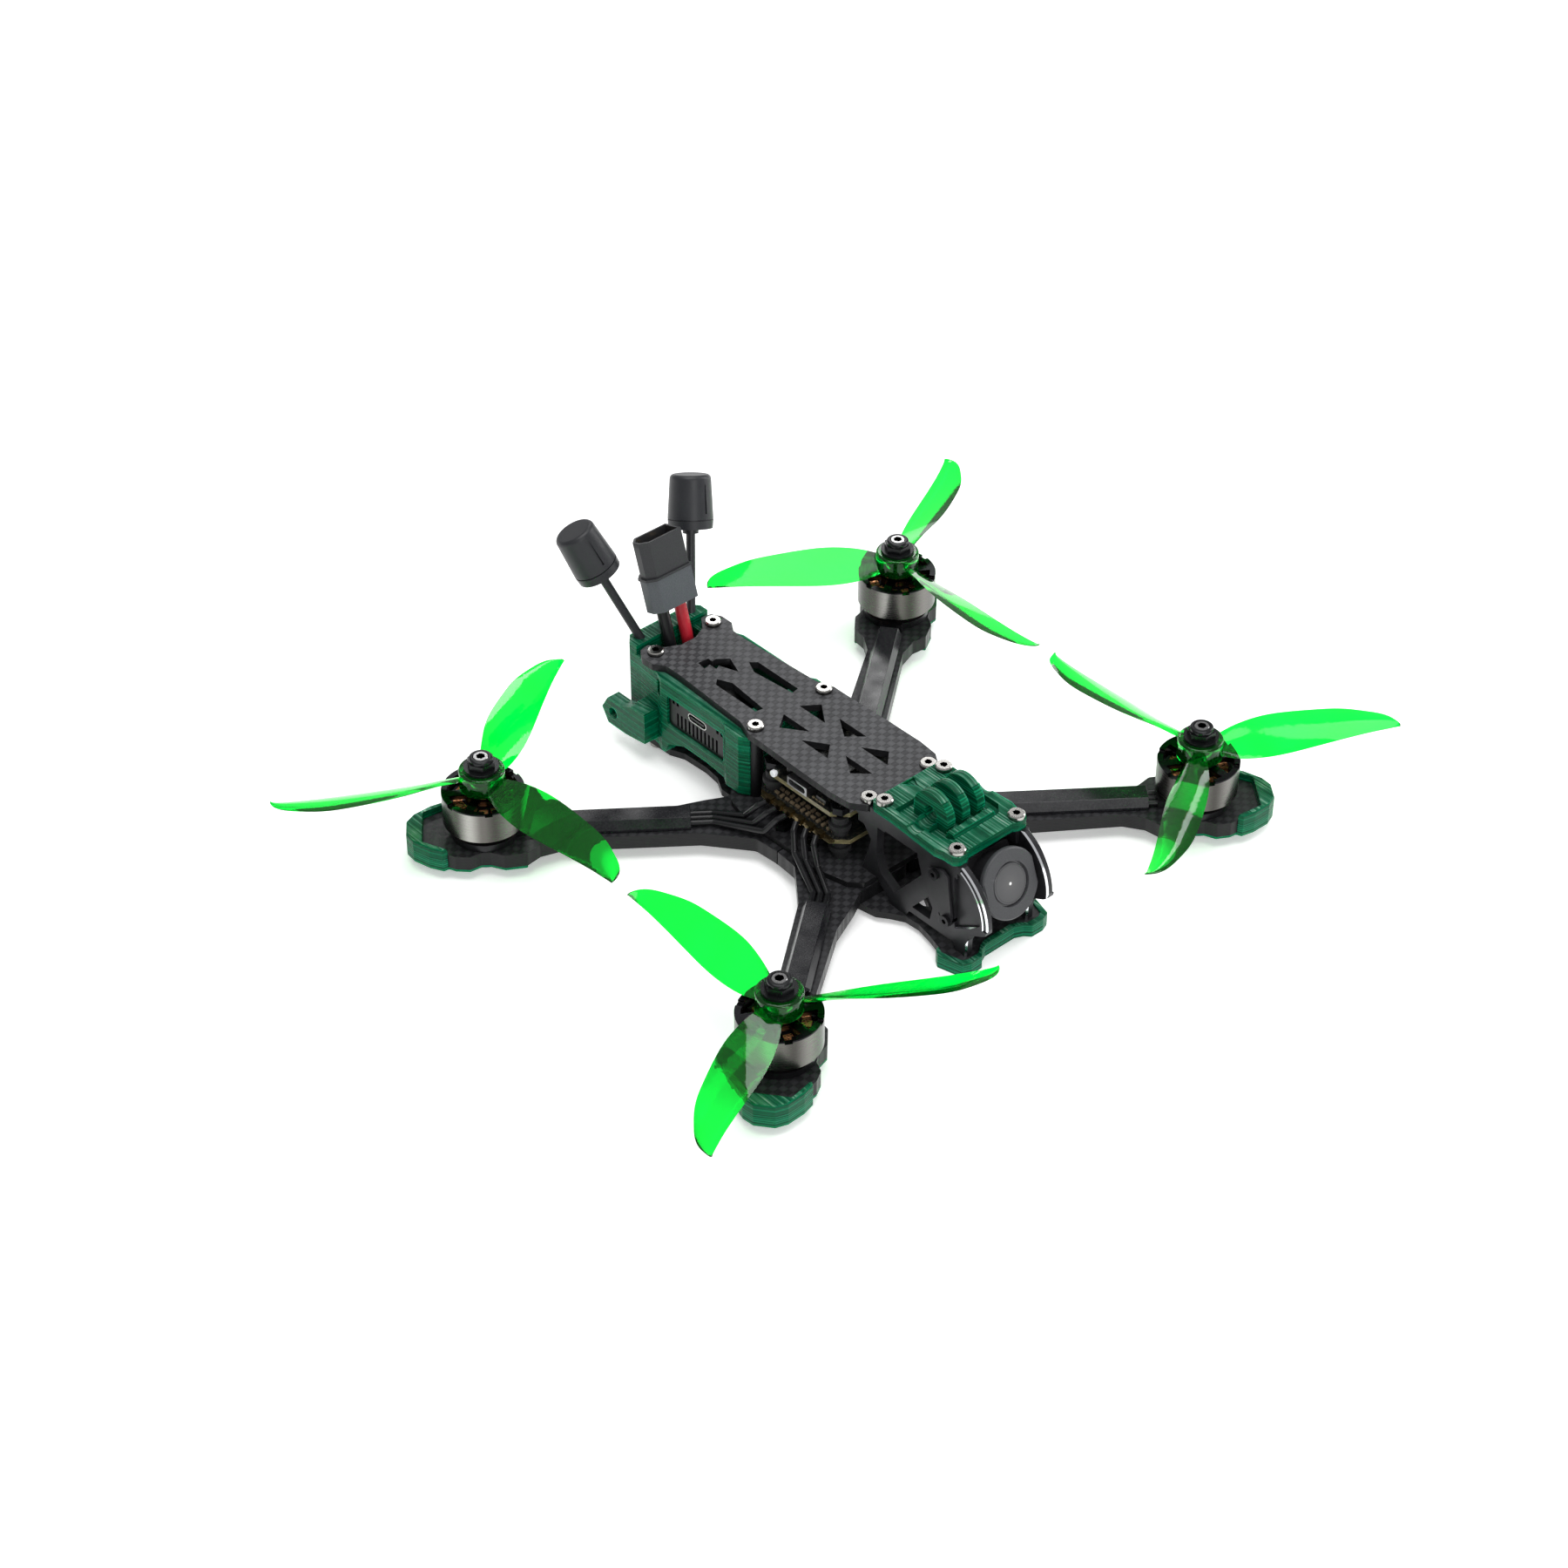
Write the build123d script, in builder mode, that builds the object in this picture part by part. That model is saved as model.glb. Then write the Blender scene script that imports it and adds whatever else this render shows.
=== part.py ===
"""Five-inch racing quadcopter as separate parts in one frame: mm, +Z up, nose towards -Y."""
import math
import os

from build123d import *

os.makedirs("parts", exist_ok=True)

# Driving dimensions
MOTOR_X = 88.7
MOTOR_Y = 69.2
REACH = math.hypot(MOTOR_X, MOTOR_Y)
ARM_COS = MOTOR_X / REACH
ARM_SIN = MOTOR_Y / REACH

PAD_T = 2.0
PLATE_T = 2.5
ARM_T = 5.0
MID_T = 2.0
Z_BOTTOM = PAD_T
Z_ARM = Z_BOTTOM + PLATE_T
Z_MID = Z_ARM + ARM_T
Z_DECK = Z_MID + MID_T
Z_TOP = 35.0
Z_ROOF = Z_TOP + PLATE_T

SHANK_R = 1.45
HOLE_R = 1.55

Z_BELL = 14.7
BELL_H = 11.3
BELL_R = 13.1
Z_SEAT = 27.2
HUB_H = 7.2
HUB_R = 7.25
SHAFT_R = 2.0
THREAD_R = 2.5
BLADE_Z = Z_SEAT + HUB_H / 2 - 0.6

ESC_Z = 18.5
FC_Z = 27.0
BOARD_T = 1.6

CAM_Y = -60.5
CAM_Z = 22.5
CAM_TILT = 20.0
SIDE_X = 11.5
SIDE_T = 3.0
STEP_W = 1.5
STEP_D = 0.4

LEAD_R = 2.1
LEAD_X = 3.6
PLUG_Y = 82.6
PLUG_Z = 47.6
LEAD_ROUTE = [(3.6, 22.0, 13.7), (3.2, 46.0, 13.6), (3.6, 66.2, 12.6), (3.6, 75.0, 17.4),
              (3.6, 78.42, 34.24), (3.6, PLUG_Y, PLUG_Z)]
PLUG_LEAN = math.degrees(math.atan2(PLUG_Y - LEAD_ROUTE[-2][1], PLUG_Z - LEAD_ROUTE[-2][2]))

QUADRANTS = {"fr": (-1, -1), "fl": (1, -1), "rr": (-1, 1), "rl": (1, 1)}


def save(solid, label):
    """Name one part and write its file."""
    solid.label = label
    export_step(solid, f"parts/{label}.step")


def both(x, y):
    """The same plan point on the right and on the left."""
    return [(-x, y), (x, y)]


def on_arm(quadrant, along, across):
    """Plan point on an arm: distance from the centre, then sideways, positive away from the waist."""
    sx, sy = quadrant
    x = sx * (along * ARM_COS - across * ARM_SIN)
    y = sy * (along * ARM_SIN + across * ARM_COS)
    return (x, y)


def arm_angle(quadrant):
    """Direction of an arm in degrees from +X."""
    sx, sy = quadrant
    return math.degrees(math.atan2(sy * MOTOR_Y, sx * MOTOR_X))


# ---------------------------------------------------------------- carbon arms
PAD_SIDE = [(-24, 6.0), (-17, 8.4), (-13, 12.2), (-6, 13.1), (-1.5, 11.2),
            (1.5, 11.2), (5.0, 13.2), (9.5, 12.6), (19.5, 7.0)]


def arm(quadrant):
    """Carbon arm: square root against its neighbours, straight shaft, scalloped motor pad."""
    sx, sy = quadrant
    root = [(sx * 0.2, sy * 0.2), (sx * 27.6, sy * 0.2), (sx * 28.3, sy * 9.0)]
    inner = [on_arm(quadrant, 45, -6.2)]
    inner += [on_arm(quadrant, REACH + u, -v) for u, v in PAD_SIDE]
    outer = [on_arm(quadrant, REACH + u, v) for u, v in reversed(PAD_SIDE)]
    outer += [on_arm(quadrant, 55, 7.4), on_arm(quadrant, 43, 10.4)]
    nose = [(sx * 21.5, sy * 31.5), (sx * 0.2, sy * 31.5)]
    with BuildPart() as blank:
        with BuildSketch(Plane.XY.offset(Z_ARM)) as outline:
            with BuildLine():
                Polyline(*root, *inner, *outer, *nose, close=True)
            make_face()
            hub = (sx * MOTOR_X, sy * MOTOR_Y)
            pad = [v for v in outline.vertices() if math.dist((v.X, v.Y), hub) < 26]
            fillet(pad, 1.1)
            shaft = [v for v in outline.vertices() if 28 < math.hypot(v.X, v.Y) < 60]
            fillet(shaft, 3.0)
            with Locations(hub):
                Circle(3.2, mode=Mode.SUBTRACT)
                with PolarLocations(8, 4, start_angle=arm_angle(quadrant)):
                    Circle(HOLE_R, mode=Mode.SUBTRACT)
            with Locations((sx * 19.7, sy * 6.3), (sx * 15.25, sy * 15.25)):
                Circle(HOLE_R, mode=Mode.SUBTRACT)
            if sy > 0:
                with Locations((sx * 14.5, sy * 24.8)):
                    Circle(HOLE_R, mode=Mode.SUBTRACT)
        extrude(amount=ARM_T)
    return blank.part


def arm_cover(quadrant):
    """Glossy channel that lies on the arm's shaft over the motor wires."""
    start = on_arm(quadrant, 48, 0)
    across = on_arm(quadrant, 48, 1)
    side = (across[0] - start[0], across[1] - start[1], 0)
    along = on_arm(quadrant, 49, 0)
    run = (along[0] - start[0], along[1] - start[1], 0)
    section = Plane(origin=(start[0], start[1], Z_MID), x_dir=side, z_dir=run)
    up = 1 if section.y_dir.Z > 0 else -1
    with BuildPart() as cover:
        with BuildSketch(section):
            with BuildLine():
                Polyline((-4.5, 0), (-4.5, up * 1.2), (-3.0, up * 4.2), (3.0, up * 4.2),
                         (4.5, up * 1.2), (4.5, 0), (3.6, 0), (3.6, up * 2.5),
                         (-3.6, up * 2.5), (-3.6, 0), close=True)
            make_face()
        extrude(amount=49)
    return cover.part


def arm_bumper(quadrant):
    """Printed bumper: thin sole under the motor pad and a raised wall round its end."""
    wall = [(11.0, 11.0), (13.4, 12.3), (17.5, 10.5), (22.6, 6.7), (24.8, 3.2)]
    hub = (quadrant[0] * MOTOR_X, quadrant[1] * MOTOR_Y)
    with BuildPart() as bumper:
        with BuildSketch(Plane.XY.offset(Z_ARM - 1.0)):
            rim = [on_arm(quadrant, REACH + u, v) for u, v in wall]
            rim += [on_arm(quadrant, REACH + u, -v) for u, v in reversed(wall)]
            with BuildLine():
                Polyline(*rim, close=True)
            make_face()
        extrude(amount=8.5)
        with BuildSketch(Plane.XY.offset(Z_ARM - 1.0)):
            sole = [on_arm(quadrant, REACH + u, v) for u, v in PAD_SIDE[2:]]
            sole += [on_arm(quadrant, REACH + u, -v) for u, v in reversed(PAD_SIDE[2:])]
            with BuildLine():
                Polyline(*sole, close=True)
            make_face()
        extrude(amount=1.0)
        with BuildSketch(Plane.XY.offset(Z_ARM - 1.0)):
            with Locations(hub):
                with PolarLocations(8, 4, start_angle=arm_angle(quadrant)):
                    Circle(2.9)
        extrude(amount=1.0, mode=Mode.SUBTRACT)
        with BuildSketch(Plane.XY.offset(Z_ARM)):
            bed = [on_arm(quadrant, REACH + u, v) for u, v in PAD_SIDE[5:]]
            bed += [on_arm(quadrant, REACH + u, -v) for u, v in reversed(PAD_SIDE[5:])]
            with BuildLine():
                Polyline(*bed, close=True)
            make_face()
        extrude(amount=9, mode=Mode.SUBTRACT)
        crown = bumper.faces().sort_by(Axis.Z)[-1]
        chamfer(crown.edges(), 0.4)
    return bumper.part


# ---------------------------------------------------------------- motors
def motor_base(quadrant):
    """Spoked foot of the motor with the bearing tube that carries the windings."""
    with BuildPart() as base:
        with BuildSketch(Plane.XY.offset(Z_MID)):
            Circle(5.6)
            with PolarLocations(8, 4):
                Circle(3.0)
            with PolarLocations(4, 4):
                Rectangle(8, 4.4)
            with BuildSketch(mode=Mode.ADD):
                Circle(10.9)
                Circle(9.2, mode=Mode.SUBTRACT)
        extrude(amount=2.4)
        with BuildSketch(Plane.XY.offset(Z_MID)):
            Circle(5.6)
        extrude(amount=4.6)
        with BuildSketch(Plane.XY.offset(Z_MID)):
            with Locations((-11.2, 0)):
                Rectangle(2.6, 7.6)
        extrude(amount=2.9)
        with BuildSketch(Plane.XY.offset(Z_MID)):
            Circle(4.2)
        extrude(amount=14.0)
        with BuildSketch(Plane.XY.offset(Z_MID)):
            Circle(SHAFT_R + 0.03)
        extrude(amount=14.0, mode=Mode.SUBTRACT)
        with BuildSketch(Plane.XY.offset(Z_MID)):
            with PolarLocations(8, 4):
                Circle(HOLE_R)
        extrude(amount=2.4, mode=Mode.SUBTRACT)
    return base.part


def stator():
    """Laminated twelve-tooth core pressed on the bearing tube."""
    with BuildPart() as core:
        with BuildSketch(Plane.XY.offset(15.4)):
            Circle(5.8)
            with PolarLocations(7.8, 12):
                Rectangle(4.6, 1.5)
            with PolarLocations(10.2, 12):
                Rectangle(1.0, 3.6)
            Circle(4.2, mode=Mode.SUBTRACT)
        extrude(amount=7.0)
    return core.part


def coils():
    """Copper coils wound round the teeth of one core."""
    with BuildPart() as copper:
        with BuildSketch(Plane.XY.offset(14.9)):
            with PolarLocations(8.0, 12):
                RectangleRounded(3.0, 2.9, 0.4)
        extrude(amount=8.0)
        with BuildSketch(Plane.XY.offset(15.4)):
            with PolarLocations(7.8, 12):
                Rectangle(4.6, 1.5)
        extrude(amount=7.0, mode=Mode.SUBTRACT)
    return copper.part


def bell():
    """Rotating can with magnets, spoked top and raised propeller seat."""
    with BuildPart() as can:
        with BuildSketch(Plane.XY.offset(Z_BELL)):
            Circle(BELL_R)
            Circle(11.2, mode=Mode.SUBTRACT)
        extrude(amount=BELL_H)
        with BuildSketch(Plane.XY.offset(Z_BELL + BELL_H - 1.8)):
            Circle(5.9)
            with PolarLocations(8.6, 6):
                Rectangle(6.0, 2.8)
        extrude(amount=1.8)
        with BuildSketch(Plane.XY.offset(Z_BELL + BELL_H - 2.2)):
            Circle(5.9)
        extrude(amount=Z_SEAT - Z_BELL - BELL_H + 2.2)
        with BuildSketch(Plane.XY.offset(Z_BELL)):
            Circle(SHAFT_R + 0.02)
        extrude(amount=20, mode=Mode.SUBTRACT)
        with BuildSketch(Plane.XY.offset(Z_BELL + BELL_H - 1.0)):
            with PolarLocations(BELL_R, 6, start_angle=30):
                Rectangle(4.6, 2.4)
        extrude(amount=2, mode=Mode.SUBTRACT)
        rims = can.edges().filter_by(GeomType.CIRCLE).filter_by(lambda e: e.radius > 13)
        chamfer(rims.group_by(Axis.Z)[0], 0.3)
    return can.part


def shaft():
    """Steel shaft with the thicker threaded end for the propeller."""
    with BuildPart() as rod:
        with BuildSketch(Plane.XY.offset(Z_MID + 0.6)):
            Circle(SHAFT_R)
        extrude(amount=Z_SEAT - Z_MID - 0.6)
        with BuildSketch(Plane.XY.offset(Z_SEAT)):
            Circle(THREAD_R)
        extrude(amount=39.1 - Z_SEAT)
        with BuildSketch(Plane.XY.offset(36.0)):
            RegularPolygon(1.5, 6)
        extrude(amount=5, mode=Mode.SUBTRACT)
        chamfer(rod.edges().filter_by(GeomType.CIRCLE).sort_by(Axis.Z)[-1], 0.3)
    return rod.part


def lock_nut():
    """Flanged hexagon nut with a rounded locking collar."""
    with BuildPart() as nut:
        with BuildSketch(Plane.XY.offset(Z_SEAT + HUB_H)):
            Circle(5.55)
        extrude(amount=1.0)
        with BuildSketch(Plane.XY.offset(Z_SEAT + HUB_H + 1.0)):
            RegularPolygon(4.55, 6)
        extrude(amount=2.2)
        with BuildSketch(Plane.XY.offset(Z_SEAT + HUB_H + 3.2)):
            Circle(3.75)
        extrude(amount=1.4)
        collar = nut.edges().filter_by(GeomType.CIRCLE).sort_by(Axis.Z)[-1]
        fillet(collar, 0.7)
        with BuildSketch(Plane.XY.offset(Z_SEAT + HUB_H)):
            Circle(THREAD_R + 0.02)
        extrude(amount=6, mode=Mode.SUBTRACT)
    return nut.part


# Blade stations: radius, sideways centre towards the leading edge, plan width, pitch in degrees
BLADE = [(5.5, 0.0, 5.6, 34), (14, 0.7, 9.8, 35), (22, 1.5, 12.3, 30), (31, 2.2, 13.0, 25),
         (41, 2.8, 12.2, 20.5), (50, 2.9, 10.7, 17), (57.5, 2.0, 8.0, 15), (62, 1.0, 5.9, 14),
         (64.4, -0.1, 3.8, 13), (65.6, -1.6, 1.3, 12)]


def blade(spin):
    """One swept and twisted blade along +X; spin is 1 for counter-clockwise from above."""
    with BuildPart() as foil:
        for radius, centre, width, pitch in BLADE:
            lean = math.radians(pitch)
            chord = width / math.cos(lean)
            thick = 1.9 - 1.2 * radius / 65
            flat = (0, math.cos(lean), spin * math.sin(lean))
            spot = (radius, spin * centre, BLADE_Z)
            up = spin * thick
            with BuildSketch(Plane(origin=spot, x_dir=flat, z_dir=(1, 0, 0))):
                with BuildLine():
                    ThreePointArc((-chord / 2, 0), (0, 0.85 * up), (chord / 2, 0))
                    ThreePointArc((chord / 2, 0), (0, -0.15 * up), (-chord / 2, 0))
                make_face()
        loft()
    return foil.part


def propeller(spin):
    """Three-bladed propeller with its first blade along +X."""
    single = blade(spin)
    with BuildPart() as prop:
        with BuildSketch(Plane.XY.offset(Z_SEAT)):
            Circle(HUB_R)
        extrude(amount=HUB_H)
        rims = prop.edges().filter_by(GeomType.CIRCLE)
        fillet(rims, 0.8)
        for step in range(3):
            add(single, rotation=(0, 0, 120 * step))
        with BuildSketch(Plane.XY.offset(Z_SEAT - 1)):
            Circle(THREAD_R + 0.02)
        extrude(amount=HUB_H + 3, mode=Mode.SUBTRACT)
    return prop.part


SPIN = {"fr": -1, "fl": 1, "rr": 1, "rl": -1}
REST = {"fr": 90, "fl": -30, "rr": 30, "rl": 30}
covers = []
coil_set = []
stator_set = []
for name, quadrant in QUADRANTS.items():
    at_motor = Location((quadrant[0] * MOTOR_X, quadrant[1] * MOTOR_Y, 0))
    turned = Location((quadrant[0] * MOTOR_X, quadrant[1] * MOTOR_Y, 0), (0, 0, arm_angle(quadrant)))
    spun = Location((quadrant[0] * MOTOR_X, quadrant[1] * MOTOR_Y, 0), (0, 0, REST[name]))
    save(arm(quadrant), f"arm_{name}")
    covers += arm_cover(quadrant).solids()
    save(arm_bumper(quadrant), f"arm_bumper_{name}")
    save(motor_base(quadrant).moved(turned), f"motor_base_{name}")
    save(bell().moved(spun), f"bell_{name}")
    save(shaft().moved(at_motor), f"shaft_{name}")
    save(propeller(SPIN[name]).moved(spun), f"propeller_{name}")
    save(lock_nut().moved(at_motor), f"lock_nut_{name}")
    coil_set += coils().moved(turned).solids()
    stator_set += stator().moved(turned).solids()
save(Compound(children=covers), "arm_covers")
save(Compound(children=coil_set), "motor_coils")
save(Compound(children=stator_set), "motor_stators")


# ---------------------------------------------------------------- carbon plates
def mirrored(half):
    """Close a plan outline given on the left half, from nose to tail."""
    return half + [(-x, y) for x, y in reversed(half) if x > 0.001]


NOSE = [(5.4, -69.3), (8.0, -70.4), (10.6, -72.4), (15.2, -72.5), (16.8, -71.5), (18.8, -65.0),
        (17.4, -62.0)]
TAIL = [(15.8, 33), (15.8, 40), (12.8, 45.5), (12.0, 52), (12.5, 62), (14.6, 67), (15.0, 80.0),
        (12.0, 83.5)]
WAIST = [(15.8, -56.5), (14.6, -50.5), (15.0, -45.0), (17.6, -40.5), (20.2, -37.0), (21.3, -31.0),
         (25.8, -20), (25.6, 20), (20.0, 31.0)]
STACK = [(x, y) for x in (-15.25, 15.25) for y in (-15.25, 15.25)]
ARM_BOLTS = [(x, y) for x in (-19.7, 19.7) for y in (-6.3, 6.3)]
REAR_POSTS = both(12.2, 75.85)
MID_POSTS = both(14.5, 24.8)
FRONT_BOLTS = both(12.46, -25.15)
MOUNT_BOLTS = both(12.45, -31.94) + both(12.45, -63.5)

with BuildPart() as bottom_plate:
    with BuildSketch(Plane.XY.offset(Z_BOTTOM)) as outline:
        with BuildLine():
            Polyline(*mirrored(NOSE + WAIST + TAIL), close=True)
        make_face()
        fillet([v for v in outline.vertices() if v.Y > -62.5 and abs(v.X) > 5], 1.5)
        for side in (-1, 1):
            with BuildLine():
                Polyline((side * 10.4, -41.0), (side * 3.2, -40.6), (side * 6.4, -46.5), close=True)
            make_face(mode=Mode.SUBTRACT)
            with BuildLine():
                Polyline((side * 10.3, -50.6), (side * 10.3, -58.2), (side * 3.4, -54.5), close=True)
            make_face(mode=Mode.SUBTRACT)
        with Locations(*STACK, *ARM_BOLTS, *REAR_POSTS, *MID_POSTS):
            Circle(HOLE_R, mode=Mode.SUBTRACT)
    extrude(amount=PLATE_T)
save(bottom_plate.part, "bottom_plate")

with BuildPart() as mid_plate:
    with BuildSketch(Plane.XY.offset(Z_MID)) as outline:
        with BuildLine():
            Polyline(*mirrored([(19.5, -31.0), (23.0, -27.0), (26.0, -15.0), (25.2, -4.0),
                                (25.4, 5.0), (26.0, 15.0), (23.0, 27.0), (19.5, 31.0)]), close=True)
        make_face()
        fillet(outline.vertices(), 1.2)
        with Locations(*STACK, *ARM_BOLTS, *MID_POSTS):
            Circle(HOLE_R, mode=Mode.SUBTRACT)
    extrude(amount=MID_T)
save(mid_plate.part, "mid_plate")

ROOF = [(15.0, -27.2), (18.2, -22.5), (19.0, -15.0), (18.8, 0), (18.2, 18.4), (18.2, 24.0),
        (16.0, 30.3), (14.2, 62.5), (14.4, 68.2), (17.0, 72.0), (17.0, 77.0), (15.0, 80.2),
        (11.4, 80.8), (8.0, 76.2), (3.0, 73.8)]
ROOF_CUTS = [
    [(4.5, 47), (6.8, 52), (9.0, 50), (9.0, 31), (6.2, 30.5)],
    [(3.3, 24), (9.0, 19.8), (3.3, 12)],
    [(8.2, 10.6), (8.2, -1.8), (3.0, 2.8)],
    [(3.2, -4.6), (3.2, -16.8), (8.2, -12.0)],
]
with BuildPart() as top_plate:
    with BuildSketch(Plane.XY.offset(Z_TOP)) as outline:
        with BuildLine():
            Polyline(*mirrored(ROOF), close=True)
        make_face()
        fillet(outline.vertices(), 1.0)
        for shape in ROOF_CUTS:
            for side in (-1, 1):
                with BuildLine():
                    Polyline(*[(side * x, y) for x, y in shape], close=True)
                make_face(mode=Mode.SUBTRACT)
        with BuildLine():
            Polyline((0, 60.4), (3.6, 57.5), (0.9, 50.3), (-1.6, 57.0), (-3.4, 56.2),
                     (-3.4, 59.4), (-6.0, 59.0), (-5.6, 62.6), (-1.6, 62.2), (-1.8, 60.2), close=True)
        make_face(mode=Mode.SUBTRACT)
        with Locations(*REAR_POSTS, *MID_POSTS, *FRONT_BOLTS):
            Circle(HOLE_R, mode=Mode.SUBTRACT)
    extrude(amount=PLATE_T)
save(top_plate.part, "top_plate")

with BuildPart() as landing_pads:
    with BuildSketch():
        RectangleRounded(23, 50, 2)
        with Locations((0, 60)):
            RectangleRounded(16, 22, 2)
    extrude(amount=PAD_T)
save(landing_pads.part, "landing_pads")

BUMPER = [(6.1, -71.1), (9.0, -72.4), (10.8, -74.3), (15.4, -74.4), (18.3, -73.3), (20.6, -64.9),
          (19.0, -62.5)]
with BuildPart() as front_bumper:
    with BuildSketch():
        with BuildLine():
            Polyline(*mirrored(BUMPER), close=True)
        make_face()
        with Locations((0, -62.5)):
            Rectangle(26, 13, mode=Mode.SUBTRACT)
    extrude(amount=5.2)
    with BuildSketch(Plane.XY.offset(Z_BOTTOM)):
        with BuildLine():
            Polyline(*mirrored(NOSE + [(15.8, -56.5)]), close=True)
        make_face()
    extrude(amount=10, mode=Mode.SUBTRACT)
save(front_bumper.part, "front_bumper")


# ---------------------------------------------------------------- side plates round the camera
def side_plate(side):
    """Machined plate: raked rear leg, braced window, curved horn round the lens, front foot."""
    start = SIDE_X if side > 0 else -SIDE_X - SIDE_T
    face_x = side * (SIDE_X + SIDE_T)
    with BuildPart() as plate:
        with BuildSketch(Plane.YZ.offset(start)):
            with BuildLine():
                top = (-67.7, 37.0)
                tip = (-79.0, 19.4)
                horn = ThreePointArc(top, (-73.1, 33.1), tip)
                Polyline(tip, (-78.6, 17.6), (-77.2, 16.6), (-74.3, 15.1), (-72.0, 13.2),
                         (-71.1, 10.8), (-70.9, Z_ARM), (-66.2, Z_ARM), (-66.0, 7.0), (-46.0, 7.0),
                         (-44.6, Z_ARM), (-38.5, Z_ARM), (-36.5, 6.5), (-32.4, 10.0),
                         (-31.2, Z_DECK), (-24.2, Z_DECK), (-28.0, 24.5), (-22.5, 31.6),
                         (-20.4, 32.4), (-20.4, Z_TOP), (-27.8, Z_TOP), (-27.8, 37.0), top)
            make_face()
            with BuildLine():
                Polyline((-31.2, 31.6), (-48.6, 31.6), (-50.9, 24.5), (-39.4, 10.2),
                         (-33.4, 13.8), (-31.0, 20.0), close=True)
            make_face(mode=Mode.SUBTRACT)
            with BuildLine():
                Polyline((-47.2, 9.4), (-54.0, 17.8), (-56.0, 14.5), (-55.0, 9.4), close=True)
            make_face(mode=Mode.SUBTRACT)
        extrude(amount=SIDE_T)
        for angle in (60.5, 240.5):
            with BuildSketch(Plane.YZ.offset(start)):
                with BuildLine():
                    near = CenterArc((CAM_Y, CAM_Z), 6.75, angle, 34)
                    far = CenterArc((CAM_Y, CAM_Z), 9.15, angle, 34)
                    Line(near @ 0, far @ 0)
                    Line(near @ 1, far @ 1)
                make_face()
                with Locations((CAM_Y, CAM_Z)):
                    with PolarLocations(7.95, 2, start_angle=angle, angular_range=34, endpoint=True):
                        Circle(1.2)
            extrude(amount=SIDE_T, mode=Mode.SUBTRACT)
        middle = (horn.arc_center.X, horn.arc_center.Y)
        with BuildSketch(Plane.YZ.offset(face_x)):
            with Locations(middle):
                Circle(horn.radius + 3)
                Circle(horn.radius - STEP_W, mode=Mode.SUBTRACT)
            with Locations((-74.2, 29.0)):
                Rectangle(14.0, 20.4, mode=Mode.INTERSECT)
        extrude(amount=-side * STEP_D, mode=Mode.SUBTRACT)
        arcs = [e for e in plate.edges() if e.geom_type == GeomType.CIRCLE and e.length > 15]
        outer = [e for e in arcs if e.radius > horn.radius - 0.1]
        step = [e for e in arcs if e.radius < horn.radius - 0.1 and abs(e.center().X - face_x) < 0.01]
        flat = [e for e in plate.edges() if abs(abs(e.center().X) - SIDE_X - SIDE_T / 2) > 1.49]
        lip = [e for e in flat if -72.0 < e.center().Y < -70.5 and e.center().Z < 11]
        rake = [e for e in flat if -27.0 < e.center().Y < -24.5 and 12 < e.center().Z < 31]
        chamfer(outer + lip + rake, 0.5)
        chamfer(step, 0.3)
        with BuildSketch(Plane.YZ.offset(face_x)):
            with BuildLine():
                Line((-65.6, 13.0), (-64.6, 34.4))
                ThreePointArc((-64.6, 34.4), (-72.0, 29.6), (-75.8, 19.6))
                Polyline((-75.8, 19.6), (-74.4, 18.4), (-65.6, 13.0))
            make_face()
        extrude(amount=-side * 1.2, mode=Mode.SUBTRACT)
        rim = [e for e in plate.edges() if abs(e.center().X - face_x) < 0.01]
        pocket = [e for e in rim if -74.5 < e.center().Y < -68 and e.geom_type == GeomType.CIRCLE]
        pocket = [e for e in pocket if math.dist((e.center().Y, e.center().Z), (-59, 19)) < 18]
        sill = [e for e in rim if -71.5 < e.center().Y < -68 and 14 < e.center().Z < 17.5]
        chamfer(pocket + sill, 0.4)
        bosses = [(-25.15, Z_TOP - 6.0, Z_TOP), (-31.94, 31.0, 37.0), (-63.5, 32.2, 37.0)]
        for y, low, high in bosses:
            with BuildSketch(Plane.XY.offset(low)):
                with Locations((side * 12.25, y)):
                    Rectangle(4.5, 5.0)
            extrude(amount=high - low)
            with BuildSketch(Plane.XY.offset(low)):
                with Locations((side * 12.45, y)):
                    Circle(1.5)
            extrude(amount=high - low, mode=Mode.SUBTRACT)
    return plate.part


save(side_plate(-1), "side_plate_right")
save(side_plate(1), "side_plate_left")


# ---------------------------------------------------------------- posts, screws and nuts
with BuildPart() as standoffs:
    with BuildSketch(Plane.XY.offset(Z_ARM)):
        with Locations(*REAR_POSTS):
            Circle(2.5)
    extrude(amount=Z_TOP - Z_ARM)
    with BuildSketch(Plane.XY.offset(Z_DECK)):
        with Locations(*MID_POSTS):
            Circle(2.5)
    extrude(amount=Z_TOP - Z_DECK)
    with BuildSketch(Plane.XY.offset(Z_ARM)):
        with Locations(*REAR_POSTS, *MID_POSTS):
            Circle(1.5)
    extrude(amount=Z_TOP - Z_ARM, mode=Mode.SUBTRACT)
save(standoffs.part, "standoffs")


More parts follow.
